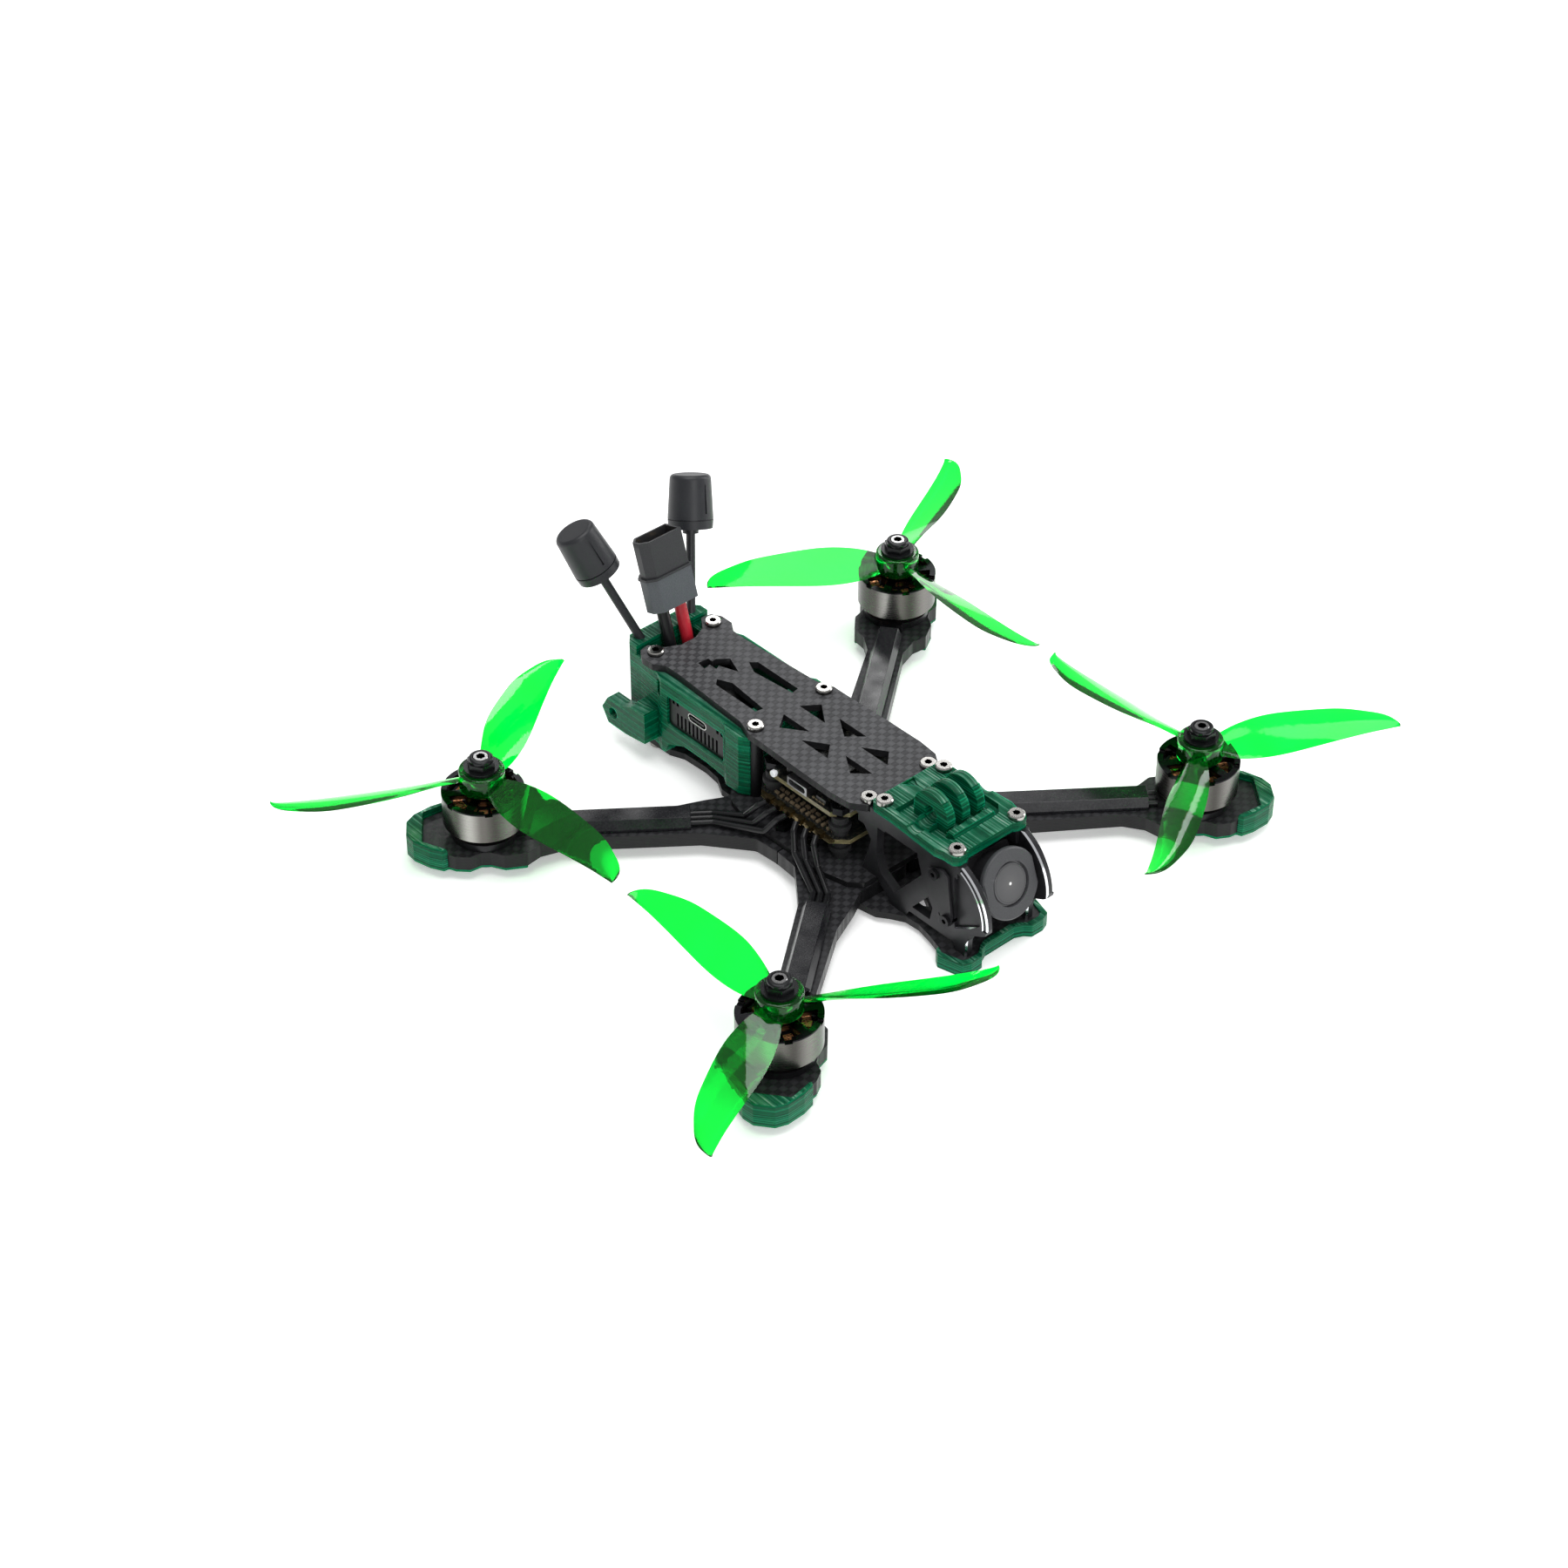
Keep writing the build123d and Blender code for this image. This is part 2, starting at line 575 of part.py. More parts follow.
def screw(x, y, head_z, length, up=1, head_r=2.7, head_h=1.5):
    """Socket screw with its head bearing at head_z, its shank going down, or up when up is -1."""
    with BuildPart() as bolt:
        with BuildSketch(Plane.XY.offset(head_z)):
            with Locations((x, y)):
                Circle(head_r)
        extrude(amount=up * head_h)
        far = head_z + up * head_h
        outer = [e for e in bolt.edges() if abs(e.center().Z - far) < 0.01]
        chamfer(outer, 0.35)
        with BuildSketch(Plane.XY.offset(far)):
            with Locations((x, y)):
                RegularPolygon(1.25, 6)
        extrude(amount=-up * 1.0, mode=Mode.SUBTRACT)
        with BuildSketch(Plane.XY.offset(head_z)):
            with Locations((x, y)):
                Circle(SHANK_R)
        extrude(amount=-up * length)
    return bolt.part.solids()


screws = []
for x, y in REAR_POSTS + MID_POSTS + FRONT_BOLTS:
    screws += screw(x, y, Z_ROOF, 7.5)
for x, y in MOUNT_BOLTS:
    screws += screw(x, y, 40.4, 8.0)
for x, y in REAR_POSTS:
    screws += screw(x, y, Z_BOTTOM, 8.0, up=-1)
for x, y in MID_POSTS:
    screws += screw(x, y, Z_BOTTOM, 14.0, up=-1)
for x, y in ARM_BOLTS:
    screws += screw(x, y, Z_BOTTOM, 11.0, up=-1)
for x, y in STACK:
    screws += screw(x, y, Z_BOTTOM, 28.5, up=-1)
for quadrant in QUADRANTS.values():
    for u, v in ((8, 0), (0, 8), (-8, 0), (0, -8)):
        x, y = on_arm(quadrant, REACH + u, v)
        screws += screw(x, y, Z_ARM, 7.2, up=-1, head_r=2.6, head_h=1.2)
save(Compound(children=screws), "frame_screws")

with BuildPart() as frame_nuts:
    with BuildSketch(Plane.XY.offset(Z_DECK)):
        with Locations(*ARM_BOLTS):
            RegularPolygon(2.9, 6)
        with Locations(*ARM_BOLTS):
            Circle(1.5, mode=Mode.SUBTRACT)
    extrude(amount=1.6)
    with BuildSketch(Plane.XY.offset(FC_Z + BOARD_T)):
        with Locations(*STACK):
            RegularPolygon(3.1, 6)
        with Locations(*STACK):
            Circle(1.5, mode=Mode.SUBTRACT)
    extrude(amount=2.4)
save(frame_nuts.part, "frame_nuts")

# ---------------------------------------------------------------- action camera mount
EAR_Y = -47.2
EAR_Z = 42.7
EAR_R = 7.4
EAR_BORE_R = 2.6
EAR_PITCH = 6.2
with BuildPart() as action_cam_mount:
    with BuildSketch(Plane.XY.offset(37.0)) as outline:
        with BuildLine():
            Polyline(*mirrored([(9.2, -65.2), (10.8, -66.3), (14.0, -66.3), (15.4, -64.6),
                                (15.5, -61.0), (16.3, -57.7), (15.0, -38.0), (15.0, -30.0),
                                (14.2, -28.6)]), close=True)
        make_face()
        fillet(outline.vertices(), 0.8)
    extrude(amount=3.4)
    with BuildSketch(Plane.XY.offset(38.2)):
        with BuildLine():
            Polyline((-12.6, -36.6), (12.6, -36.6), (12.6, -55.6), (9.4, -59.0), (-9.4, -59.0),
                     (-12.6, -55.6), close=True)
        make_face()
    extrude(amount=5, mode=Mode.SUBTRACT)
    with BuildSketch(Plane.XY.offset(39.4)):
        with BuildLine():
            Polyline((-2.6, -29.0), (2.6, -29.0), (0.6, -33.0), close=True)
        make_face()
    extrude(amount=5, mode=Mode.SUBTRACT)
    for step in (-1, 0, 1):
        with BuildSketch(Plane.YZ.offset(step * EAR_PITCH - 1.5)):
            with BuildLine():
                Polyline((EAR_Y + EAR_R, EAR_Z), (EAR_Y + EAR_R, 38.2), (-57.0, 38.2),
                         (-57.0, 39.4), (EAR_Y - EAR_R + 0.9, EAR_Z - 3.4), close=True)
            make_face()
            with Locations((EAR_Y, EAR_Z)):
                Circle(EAR_R)
            with Locations((EAR_Y, 33.2)):
                Rectangle(24, 10, mode=Mode.SUBTRACT)
        extrude(amount=3.0)
    for side in (-1, 1):
        with BuildSketch(Plane.XZ.offset(-EAR_Y - 3.0)):
            with BuildLine():
                Polyline((side * 7.7, 38.2), (side * 12.6, 38.2), (side * 7.7, 43.0), close=True)
            make_face()
        extrude(amount=6.0)
    with BuildSketch(Plane.YZ.offset(-8.6)):
        with BuildLine():
            Polyline((-59.0, 38.2), (-59.0, 39.4), (-57.6, 41.0), (-55.6, 41.0), (-54.6, 38.2),
                     close=True)
        make_face()
    extrude(amount=17.2)
    with BuildSketch(Plane.YZ.offset(-7.7)):
        with Locations((EAR_Y, EAR_Z)):
            Circle(EAR_BORE_R)
    extrude(amount=15.4, mode=Mode.SUBTRACT)
    for side in (-1, 1):
        with BuildSketch(Plane.YZ.offset(side * 7.7)):
            with Locations((EAR_Y, EAR_Z)):
                Circle(EAR_BORE_R + 0.9)
        extrude(amount=side * 10, mode=Mode.SUBTRACT)
    with BuildSketch(Plane.XY.offset(36)):
        with Locations(*MOUNT_BOLTS):
            Circle(HOLE_R)
    extrude(amount=6, mode=Mode.SUBTRACT)
save(action_cam_mount.part, "action_cam_mount")

# ---------------------------------------------------------------- tilting camera
LOOK = Vector(0, -math.cos(math.radians(CAM_TILT)), math.sin(math.radians(CAM_TILT)))


def camera_plane(forward):
    """Plane square to the lens, a distance in front of the tilt axis."""
    spot = Vector(0, CAM_Y, CAM_Z) + LOOK * forward
    return Plane(origin=spot, x_dir=(1, 0, 0), z_dir=LOOK)


with BuildPart() as camera_body:
    with BuildSketch(camera_plane(-7.5)):
        RectangleRounded(18.4, 18.4, 1.5)
    extrude(amount=2.0)
    with BuildSketch(camera_plane(-5.5)):
        RectangleRounded(19, 19, 1.5)
    extrude(amount=11.5)
    with BuildSketch(camera_plane(6.0)):
        Circle(8.8)
    extrude(amount=7.2)
    with BuildSketch(camera_plane(13.2)) as face:
        Circle(11.4)
        Rectangle(21.0, 30, mode=Mode.INTERSECT)
    extrude(amount=1.8)
    front = [e for e in camera_body.edges() if (e.center() - camera_plane(15.0).origin).dot(LOOK) > -0.01]
    chamfer(front, 0.5)
    with BuildSketch(camera_plane(12.4)):
        Circle(7.2)
    extrude(amount=4, mode=Mode.SUBTRACT)
    rise = Vector(0, -LOOK.Z, LOOK.Y) * -7.95
    for side in (-1, 1):
        for end in (-1, 1):
            spot = Vector(side * 9.5, CAM_Y, CAM_Z) + rise * end
            with BuildSketch(Plane(origin=spot, x_dir=(0, 1, 0), z_dir=(-side, 0, 0))):
                Circle(1.0)
            extrude(amount=3.0, mode=Mode.SUBTRACT)
save(camera_body.part, "camera_body")

with BuildPart() as camera_lens:
    with BuildSketch(camera_plane(12.4)):
        Circle(7.2)
    extrude(amount=1.6)
    with BuildSketch(camera_plane(14.0)):
        Circle(6.6)
    extrude(amount=0.6)
    edge = camera_lens.edges().filter_by(GeomType.CIRCLE).filter_by(lambda e: e.radius < 6.7)
    fillet(edge.sort_by(Axis.Y)[0], 0.4)
save(camera_lens.part, "camera_lens")

brackets = []
bracket_screws = []
for side in (-1, 1):
    start = 14.8 if side > 0 else -15.6
    with BuildPart() as bracket:
        with BuildSketch(Plane.YZ.offset(start)) as outline:
            with BuildLine():
                Polyline((-53.9, 30.1), (-60.6, 32.9), (-63.0, 31.6), (-65.2, 16.6),
                         (-64.4, 12.9), (-61.8, 12.4), (-58.3, 19.6), close=True)
            make_face()
            fillet(outline.vertices(), 0.9)
            for end in (-1, 1):
                spot = Vector(0, CAM_Y, CAM_Z) + rise * end
                with Locations((spot.Y, spot.Z)):
                    Circle(1.05, mode=Mode.SUBTRACT)
        extrude(amount=0.8)
    brackets += bracket.part.solids()
    for end in (-1, 1):
        spot = Vector(side * 15.6, CAM_Y, CAM_Z) + rise * end
        with BuildPart() as bolt:
            with BuildSketch(Plane(origin=spot, x_dir=(0, 1, 0), z_dir=(side, 0, 0))):
                Circle(1.9)
            extrude(amount=1.2)
            with BuildSketch(Plane(origin=spot, x_dir=(0, 1, 0), z_dir=(-side, 0, 0))):
                Circle(1.0)
            extrude(amount=8.6)
            crown = Vector(side * 16.8, spot.Y, spot.Z)
            with BuildSketch(Plane(origin=crown, x_dir=(0, 1, 0), z_dir=(-side, 0, 0))):
                RegularPolygon(0.9, 6)
            extrude(amount=0.8, mode=Mode.SUBTRACT)
        bracket_screws += bolt.part.solids()
save(Compound(children=brackets), "camera_brackets")
save(Compound(children=bracket_screws), "camera_screws")

# ---------------------------------------------------------------- rear housing and air unit
UNIT_Y = (34.6, 64.6)
UNIT_Z = (16.3, 31.0)
UNIT_X = 16.7
STEM_BASE = Vector(7.3, 81.3, Z_ROOF + 1.0 - 10.9)
STEM_TOP = Vector(19.2, 94.5, 62.5)
CAP_TOP = Vector(24.5, 100.4, 78.1)
STEM_R = 1.5
with BuildPart() as rear_housing:
    with BuildSketch(Plane.XY.offset(6.0)) as outline:
        with BuildLine():
            Polyline(*mirrored([(13.0, 24.4), (17.4, 24.4), (19.4, 27.6), (19.4, 33.6),
                                (17.8, 36.4), (17.8, 67.0), (16.4, 70.5), (15.4, 80.0),
                                (15.2, 85.5), (12.6, 88.4)]), close=True)
        make_face()
    extrude(amount=Z_TOP - 0.2 - 6.0)
    with BuildSketch(Plane.XY.offset(Z_TOP - 0.2)):
        with BuildLine():
            Polyline((-9.0, 82.0), (-15.2, 82.0), (-15.2, 85.5), (-12.6, 88.4), (12.6, 88.4),
                     (15.2, 85.5), (15.2, 82.0), (9.0, 82.0), close=True)
        make_face()
    extrude(amount=3.4)
    with BuildSketch(Plane.YZ.offset(-25)):
        with BuildLine():
            Polyline((20, 4), (20, 12.2), (33.5, 12.2), (44, 13.6), (56, 13.6), (64, 10.0),
                     (66, 5.0), close=True)
        make_face()
    extrude(amount=50, mode=Mode.SUBTRACT)
    with BuildSketch(Plane.XY.offset(UNIT_Z[0])):
        with Locations((0, sum(UNIT_Y) / 2)):
            Rectangle(2 * UNIT_X, UNIT_Y[1] - UNIT_Y[0])
    extrude(amount=UNIT_Z[1] - UNIT_Z[0], mode=Mode.SUBTRACT)
    with BuildSketch(Plane.XY.offset(UNIT_Z[1])):
        with Locations((0, 49.5)):
            Rectangle(22, 28)
    extrude(amount=6, mode=Mode.SUBTRACT)
    with BuildSketch(Plane.YZ.offset(-25)):
        with Locations((50.4, 23.8)):
            RectangleRounded(27.5, 11.6, 1.5)
    extrude(amount=50, mode=Mode.SUBTRACT)
    with BuildSketch(Plane.XY.offset(4.0)):
        with Locations((0, 52.0)):
            Rectangle(12.8, 60)
    extrude(amount=12.3, mode=Mode.SUBTRACT)
    with BuildSketch(Plane.XY.offset(4.0)):
        with Locations((0, 73.4)):
            Rectangle(17.6, 17.6)
    extrude(amount=36, mode=Mode.SUBTRACT)
    with BuildSketch(Plane.XY.offset(4.0)):
        with Locations(*REAR_POSTS):
            Circle(2.5)
    extrude(amount=40, mode=Mode.SUBTRACT)
    with BuildSketch(Plane.XY.offset(4.0)):
        with Locations(*MID_POSTS):
            Circle(2.55)
    extrude(amount=40, mode=Mode.SUBTRACT)
    for side in (-1, 1):
        with BuildSketch(Plane.YZ.offset(17.8 if side > 0 else -22.6)):
            with BuildLine():
                Polyline((70.0, 9.0), (70.0, 21.0), (77.0, 20.0), (82.5, 17.6), (88.6, 17.6),
                         (91.6, 12.6), (88.6, 7.6), (80.0, 7.6), close=True)
            make_face()
        extrude(amount=4.8)
        with BuildSketch(Plane.XY.offset(9.0)):
            with Locations((side * 17.0, 74.0)):
                Rectangle(4.0, 8.0)
        extrude(amount=11.0)
        with BuildSketch(Plane.YZ.offset(-25 if side < 0 else 16)):
            with Locations((86.0, 12.6)):
                Circle(2.0)
        extrude(amount=9, mode=Mode.SUBTRACT)
        base = Vector(side * STEM_BASE.X, STEM_BASE.Y, STEM_BASE.Z)
        tip = Vector(side * STEM_TOP.X, STEM_TOP.Y, STEM_TOP.Z)
        with BuildSketch(Plane(origin=base, z_dir=tip - base)):
            Circle(STEM_R + 0.05)
        extrude(amount=20, mode=Mode.SUBTRACT)
        with BuildSketch(Plane.YZ.offset(side * 15.0)):
            with Locations((69.0, 30.0)):
                Rectangle(2.6, 6.0)
        extrude(amount=side * 5, mode=Mode.SUBTRACT)
save(rear_housing.part, "rear_housing")

with BuildPart() as air_unit:
    with BuildSketch(Plane.XY.offset(UNIT_Z[0])):
        with Locations((0, sum(UNIT_Y) / 2)):
            RectangleRounded(2 * UNIT_X, UNIT_Y[1] - UNIT_Y[0], 0.8)
    extrude(amount=UNIT_Z[1] - UNIT_Z[0])
    with BuildSketch(Plane.YZ.offset(-UNIT_X)):
        with Locations((50.5, 26.2)):
            RectangleRounded(9.0, 3.2, 1.5)
    extrude(amount=4.5, mode=Mode.SUBTRACT)
    with BuildSketch(Plane.YZ.offset(-UNIT_X)):
        with Locations((50.5, 26.2)):
            Rectangle(6.6, 0.8)
    extrude(amount=4.6)
    for side in (-1, 1):
        with BuildSketch(Plane.YZ.offset(side * UNIT_X)):
            for step in range(11):
                with Locations((41.0 + 1.9 * step, 21.6)):
                    Rectangle(0.9, 5.2)
            with Locations((38.6, 27.8), (40.6, 27.8), (60.0, 27.8), (62.0, 27.8)):
                Rectangle(1.1, 1.6)
        extrude(amount=-side * 1.0, mode=Mode.SUBTRACT)
save(air_unit.part, "air_unit")

# ---------------------------------------------------------------- electronics stack
BUTTON_Y = 10.9
BUTTON_Z = FC_Z + BOARD_T + 1.3


def clipped(half, clip):
    """Square with clipped corners."""
    return [(half, -half + clip), (half, half - clip), (half - clip, half), (clip - half, half),
            (-half, half - clip), (-half, clip - half), (clip - half, -half), (half - clip, -half)]


def block(x, y, z, wide, deep, high):
    """Upright box standing on level z."""
    with Locations((x, y, z + high / 2)):
        Box(wide, deep, high)


with BuildPart() as fc_board:
    with BuildSketch(Plane.XY.offset(FC_Z)):
        with BuildLine():
            Polyline(*clipped(18.3, 4.4), close=True)
        make_face()
        with Locations(*STACK):
            Circle(HOLE_R, mode=Mode.SUBTRACT)
    extrude(amount=BOARD_T)
    deck = FC_Z + BOARD_T
    block(-15.1, 1.0, deck, 7.0, 9.0, 3.2)
    block(0, 0, deck, 8, 8, 1.1)
    block(-16.6, BUTTON_Y, deck, 3.2, 2.4, 2.6)
    block(-14.6, -8.6, deck, 5.2, 4.2, 1.9)
    block(-9.0, -13.6, deck, 4.2, 3.2, 1.3)
    block(8.6, 9.0, deck, 5.0, 4.0, 1.2)
    block(9.6, -8.6, deck, 6.0, 5.0, 1.0)
    block(0, 14.6, deck, 12.0, 4.2, 2.6)
    block(0, -15.4, deck, 10.0, 4.0, 2.6)
    block(16.0, 0, deck, 4.2, 10.0, 2.4)
    with BuildSketch(Plane.YZ.offset(-18.6)):
        with Locations((1.0, deck + 1.6)):
            RectangleRounded(7.4, 2.2, 1.0)
    extrude(amount=4.2, mode=Mode.SUBTRACT)
    with BuildSketch(Plane.YZ.offset(-18.6)):
        with Locations((BUTTON_Y, BUTTON_Z)):
            Circle(0.75)
    extrude(amount=2.4, mode=Mode.SUBTRACT)
save(fc_board.part, "fc_board")

with BuildPart() as boot_button:
    with BuildSketch(Plane.YZ.offset(-20.0)):
        with Locations((BUTTON_Y, BUTTON_Z)):
            Circle(1.2)
    extrude(amount=1.2)
    fillet(boot_button.edges().sort_by(Axis.X)[0], 0.4)
    with BuildSketch(Plane.YZ.offset(-18.8)):
        with Locations((BUTTON_Y, BUTTON_Z)):
            Circle(0.7)
    extrude(amount=2.0)
save(boot_button.part, "boot_button")

PADS_Y = (2.4, 7.0, 11.6)
with BuildPart() as esc_board:
    with BuildSketch(Plane.XY.offset(ESC_Z)):
        with BuildLine():
            Polyline(*clipped(20.3, 4.6), close=True)
        make_face()
        with Locations(*STACK):
            Circle(HOLE_R, mode=Mode.SUBTRACT)
    extrude(amount=BOARD_T)
    for side in (-1, 1):
        for end in (-1, 1):
            for y in PADS_Y:
                block(side * 20.1, end * y, ESC_Z + 0.3, 2.2, 2.6, 2.0)
            for y in (4.8, 10.2):
                block(side * 9.6, end * y, ESC_Z + BOARD_T, 5.2, 4.4, 1.2)
                block(side * 9.6, end * y, ESC_Z - 1.1, 5.2, 4.4, 1.1)
        block(side * LEAD_X, 20.7, 11.7, 4.2, 2.6, ESC_Z + BOARD_T + 0.6 - 11.7)
    block(0, 0, ESC_Z + BOARD_T, 5, 5, 1.0)
    block(0, -17.6, ESC_Z + BOARD_T, 12, 4.0, 2.6)
save(esc_board.part, "esc_board")

with BuildPart() as stack_grommets:
    for low, high in ((Z_DECK, ESC_Z), (ESC_Z + BOARD_T, FC_Z)):
        with BuildSketch(Plane.XY.offset(low)):
            with Locations(*STACK):
                Circle(2.7)
            with Locations(*STACK):
                Circle(1.5, mode=Mode.SUBTRACT)
        extrude(amount=high - low)
        with BuildSketch(Plane.XY.offset((low + high) / 2 - 0.8)):
            with Locations(*STACK):
                Circle(3.6)
            with Locations(*STACK):
                Circle(1.5, mode=Mode.SUBTRACT)
        extrude(amount=1.6)
save(stack_grommets.part, "stack_grommets")

WIRE_R = 1.0
wires = []
for quadrant in QUADRANTS.values():
    sx, sy = quadrant
    for pad_y, across, bend_x, bend_y in ((2.4, -2.3, 26.6, 7.0), (7.0, 0.0, 26.6, 12.2),
                                          (11.6, 2.3, 26.0, 17.0)):
        entry = on_arm(quadrant, 41, across)
        motor = on_arm(quadrant, REACH - 12.5, across)
        with BuildPart() as wire:
            with BuildLine() as route:
                FilletPolyline((sx * 21.8, sy * pad_y, 19.6), (sx * 24.2, sy * (pad_y + 1.4), 18.4),
                               (sx * bend_x, sy * bend_y, 13.0), (*entry, 10.7), (*motor, 10.7),
                               radius=1.6)
            start = route.line @ 0
            with BuildSketch(Plane(origin=start, z_dir=route.line % 0)):
                Circle(WIRE_R)
            sweep()
        wires += wire.part.solids()
save(Compound(children=wires), "motor_wires")

with BuildPart() as capacitor:
    with BuildSketch(Plane.YZ.offset(-6.5)):
        with Locations((67.9, 31.4)):
            Circle(2.8)
    extrude(amount=13)
    ends = capacitor.edges().filter_by(GeomType.CIRCLE)
    fillet(ends, 0.4)
    for y in (66.75, 69.05):
        with BuildSketch(Plane.YZ.offset(6.5)):
            with Locations((y, 31.4)):
                Circle(0.3)
        extrude(amount=1.8)
save(capacitor.part, "capacitor")

# ---------------------------------------------------------------- battery plug and leads
PLUG_AXIS = Vector(0, math.sin(math.radians(PLUG_LEAN)), math.cos(math.radians(PLUG_LEAN)))


def plug_plane(height):
    """Plane square to the plug, a distance up from its lead end."""
    return Plane(origin=Vector(0, PLUG_Y, PLUG_Z) + PLUG_AXIS * height, x_dir=(1, 0, 0), z_dir=PLUG_AXIS)


def plug_outline(wide, deep, clip):
    """Rectangle with the two corners on the right clipped."""
    x = wide / 2
    y = deep / 2
    return [(x, -y), (x, y), (clip - x, y), (-x, y - clip), (-x, clip - y), (clip - x, -y)]


with BuildPart() as plug_body:
    for low, high, wide, deep in ((0, 11.2, 16.6, 8.8), (11.2, 12.0, 17.4, 9.4), (12.0, 24.4, 15.8, 8.1)):
        with BuildSketch(plug_plane(low)):
            with BuildLine():
                Polyline(*plug_outline(wide, deep, 2.6), close=True)
            make_face()
        extrude(amount=high - low)
    with BuildSketch(plug_plane(13.4)):
        with BuildLine():
            Polyline(*plug_outline(14.2, 6.5, 2.2), close=True)
        make_face()
    extrude(amount=12, mode=Mode.SUBTRACT)
    with BuildSketch(plug_plane(6.0)):
        with Locations((-LEAD_X, 0), (LEAD_X, 0)):
            Circle(1.75)
    extrude(amount=8, mode=Mode.SUBTRACT)
save(plug_body.part, "plug_body")

with BuildPart() as plug_pins:
    with BuildSketch(plug_plane(6.0)):
        with Locations((-LEAD_X, 0), (LEAD_X, 0)):
            Circle(1.75)
    extrude(amount=16.6)
    tips = [e for e in plug_pins.edges() if (e.center() - plug_plane(22.6).origin).dot(PLUG_AXIS) > -0.01]
    fillet(tips, 0.9)
save(plug_pins.part, "plug_pins")


def lead(side):
    """Battery lead from the speed controller, under the video unit, up to the plug."""
    with BuildPart() as cable:
        with BuildLine() as route:
            FilletPolyline(*[(side * x, y, z) for x, y, z in LEAD_ROUTE], radius=12.6)
        start = route.line @ 0
        with BuildSketch(Plane(origin=start, z_dir=route.line % 0)):
            Circle(LEAD_R)
        sweep()
    length = sum(edge.length for edge in route.edges())
    print("lead on side", side, "length", round(length, 2), "bend radius 12.6")
    print("volume", round(cable.part.volume, 1), "section x length", round(math.pi * LEAD_R ** 2 * length, 1))
    return cable.part


save(lead(-1), "lead_black")
save(lead(1), "lead_red")


# ---------------------------------------------------------------- antennas
def antenna(side):
    """Stiff stem with a ferrule and a tapered cap, leaning out and back."""
    base = Vector(side * STEM_BASE.X, STEM_BASE.Y, STEM_BASE.Z)
    neck = Vector(side * STEM_TOP.X, STEM_TOP.Y, STEM_TOP.Z)
    top = Vector(side * CAP_TOP.X, CAP_TOP.Y, CAP_TOP.Z)
    lean = (top - neck).normalized()
    tall = (top - neck).length
    front = Vector(0, -1, 0) - lean * Vector(0, -1, 0).dot(lean)
    groove = front.normalized()

    def level(t):
        return Plane(origin=neck + lean * t, x_dir=groove, z_dir=lean)

    with BuildPart() as whip:
        with BuildSketch(level(3.2)):
            Circle(7.5)
        with BuildSketch(level(tall)):
            Circle(6.7)
        loft()
        crown = [e for e in whip.edges() if (e.center() - level(tall).origin).dot(lean) > -0.01]
        fillet(crown, 1.5)
        with BuildSketch(level(5.0)):
            with Locations((7.4, 0)):
                Rectangle(1.4, 0.6)
        extrude(amount=9.5, mode=Mode.SUBTRACT)
        with BuildSketch(level(2.8)):
            Circle(7.1)
        extrude(amount=0.4)
        with BuildSketch(level(2.8)):
            Circle(7.5)
        extrude(amount=-2.8, taper=4)
        with BuildSketch(level(0)):
            Circle(2.6)
        extrude(amount=-1.8)
        with BuildSketch(Plane(origin=base, z_dir=neck - base)):
            Circle(STEM_R)
        extrude(amount=(neck - base).length)
    return whip.part


save(antenna(-1), "antenna_right")
save(antenna(1), "antenna_left")
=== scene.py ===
import math
import random

import bmesh
import bpy
from mathutils import Matrix, Vector


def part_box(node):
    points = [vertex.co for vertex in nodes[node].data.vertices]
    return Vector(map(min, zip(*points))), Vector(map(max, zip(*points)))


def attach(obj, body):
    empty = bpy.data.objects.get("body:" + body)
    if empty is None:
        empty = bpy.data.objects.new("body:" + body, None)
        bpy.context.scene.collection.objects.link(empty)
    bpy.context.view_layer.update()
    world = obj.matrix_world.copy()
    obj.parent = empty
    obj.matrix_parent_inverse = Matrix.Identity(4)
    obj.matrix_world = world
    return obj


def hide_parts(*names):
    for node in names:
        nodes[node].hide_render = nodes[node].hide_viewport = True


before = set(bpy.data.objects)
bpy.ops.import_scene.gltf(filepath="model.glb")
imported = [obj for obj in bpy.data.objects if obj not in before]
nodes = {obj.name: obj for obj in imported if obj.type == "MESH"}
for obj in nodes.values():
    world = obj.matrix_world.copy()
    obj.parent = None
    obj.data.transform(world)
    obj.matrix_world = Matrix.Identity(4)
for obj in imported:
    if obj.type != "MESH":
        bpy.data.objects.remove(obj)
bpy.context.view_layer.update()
MM = 0.001
QUADRANTS = ("fr", "fl", "rr", "rl")

UPPER_BOARD = (0.0270, 0.0286)    # flight controller, underside and top
LOWER_BOARD = (0.0185, 0.0201)    # speed controller, underside and top
BELL_SHOULDER = 0.0255            # the bells are black above this height
PLUG_FLANGE = 0.01118             # up the plug from its lead end
BEZEL_START = 0.01315             # ahead of the camera's pivot
PORT_Y, PORT_Z = 0.0505, 0.0262   # charging port of the video unit
LEAD_THICK = 0.0042
LEAD_ROUTE = ((0.0036, 0.022, 0.0137), (0.0032, 0.046, 0.0136), (0.0036, 0.0662, 0.0126),
              (0.0036, 0.075, 0.0174), (0.0036, 0.07842, 0.03424), (0.0036, 0.0826, 0.0476))


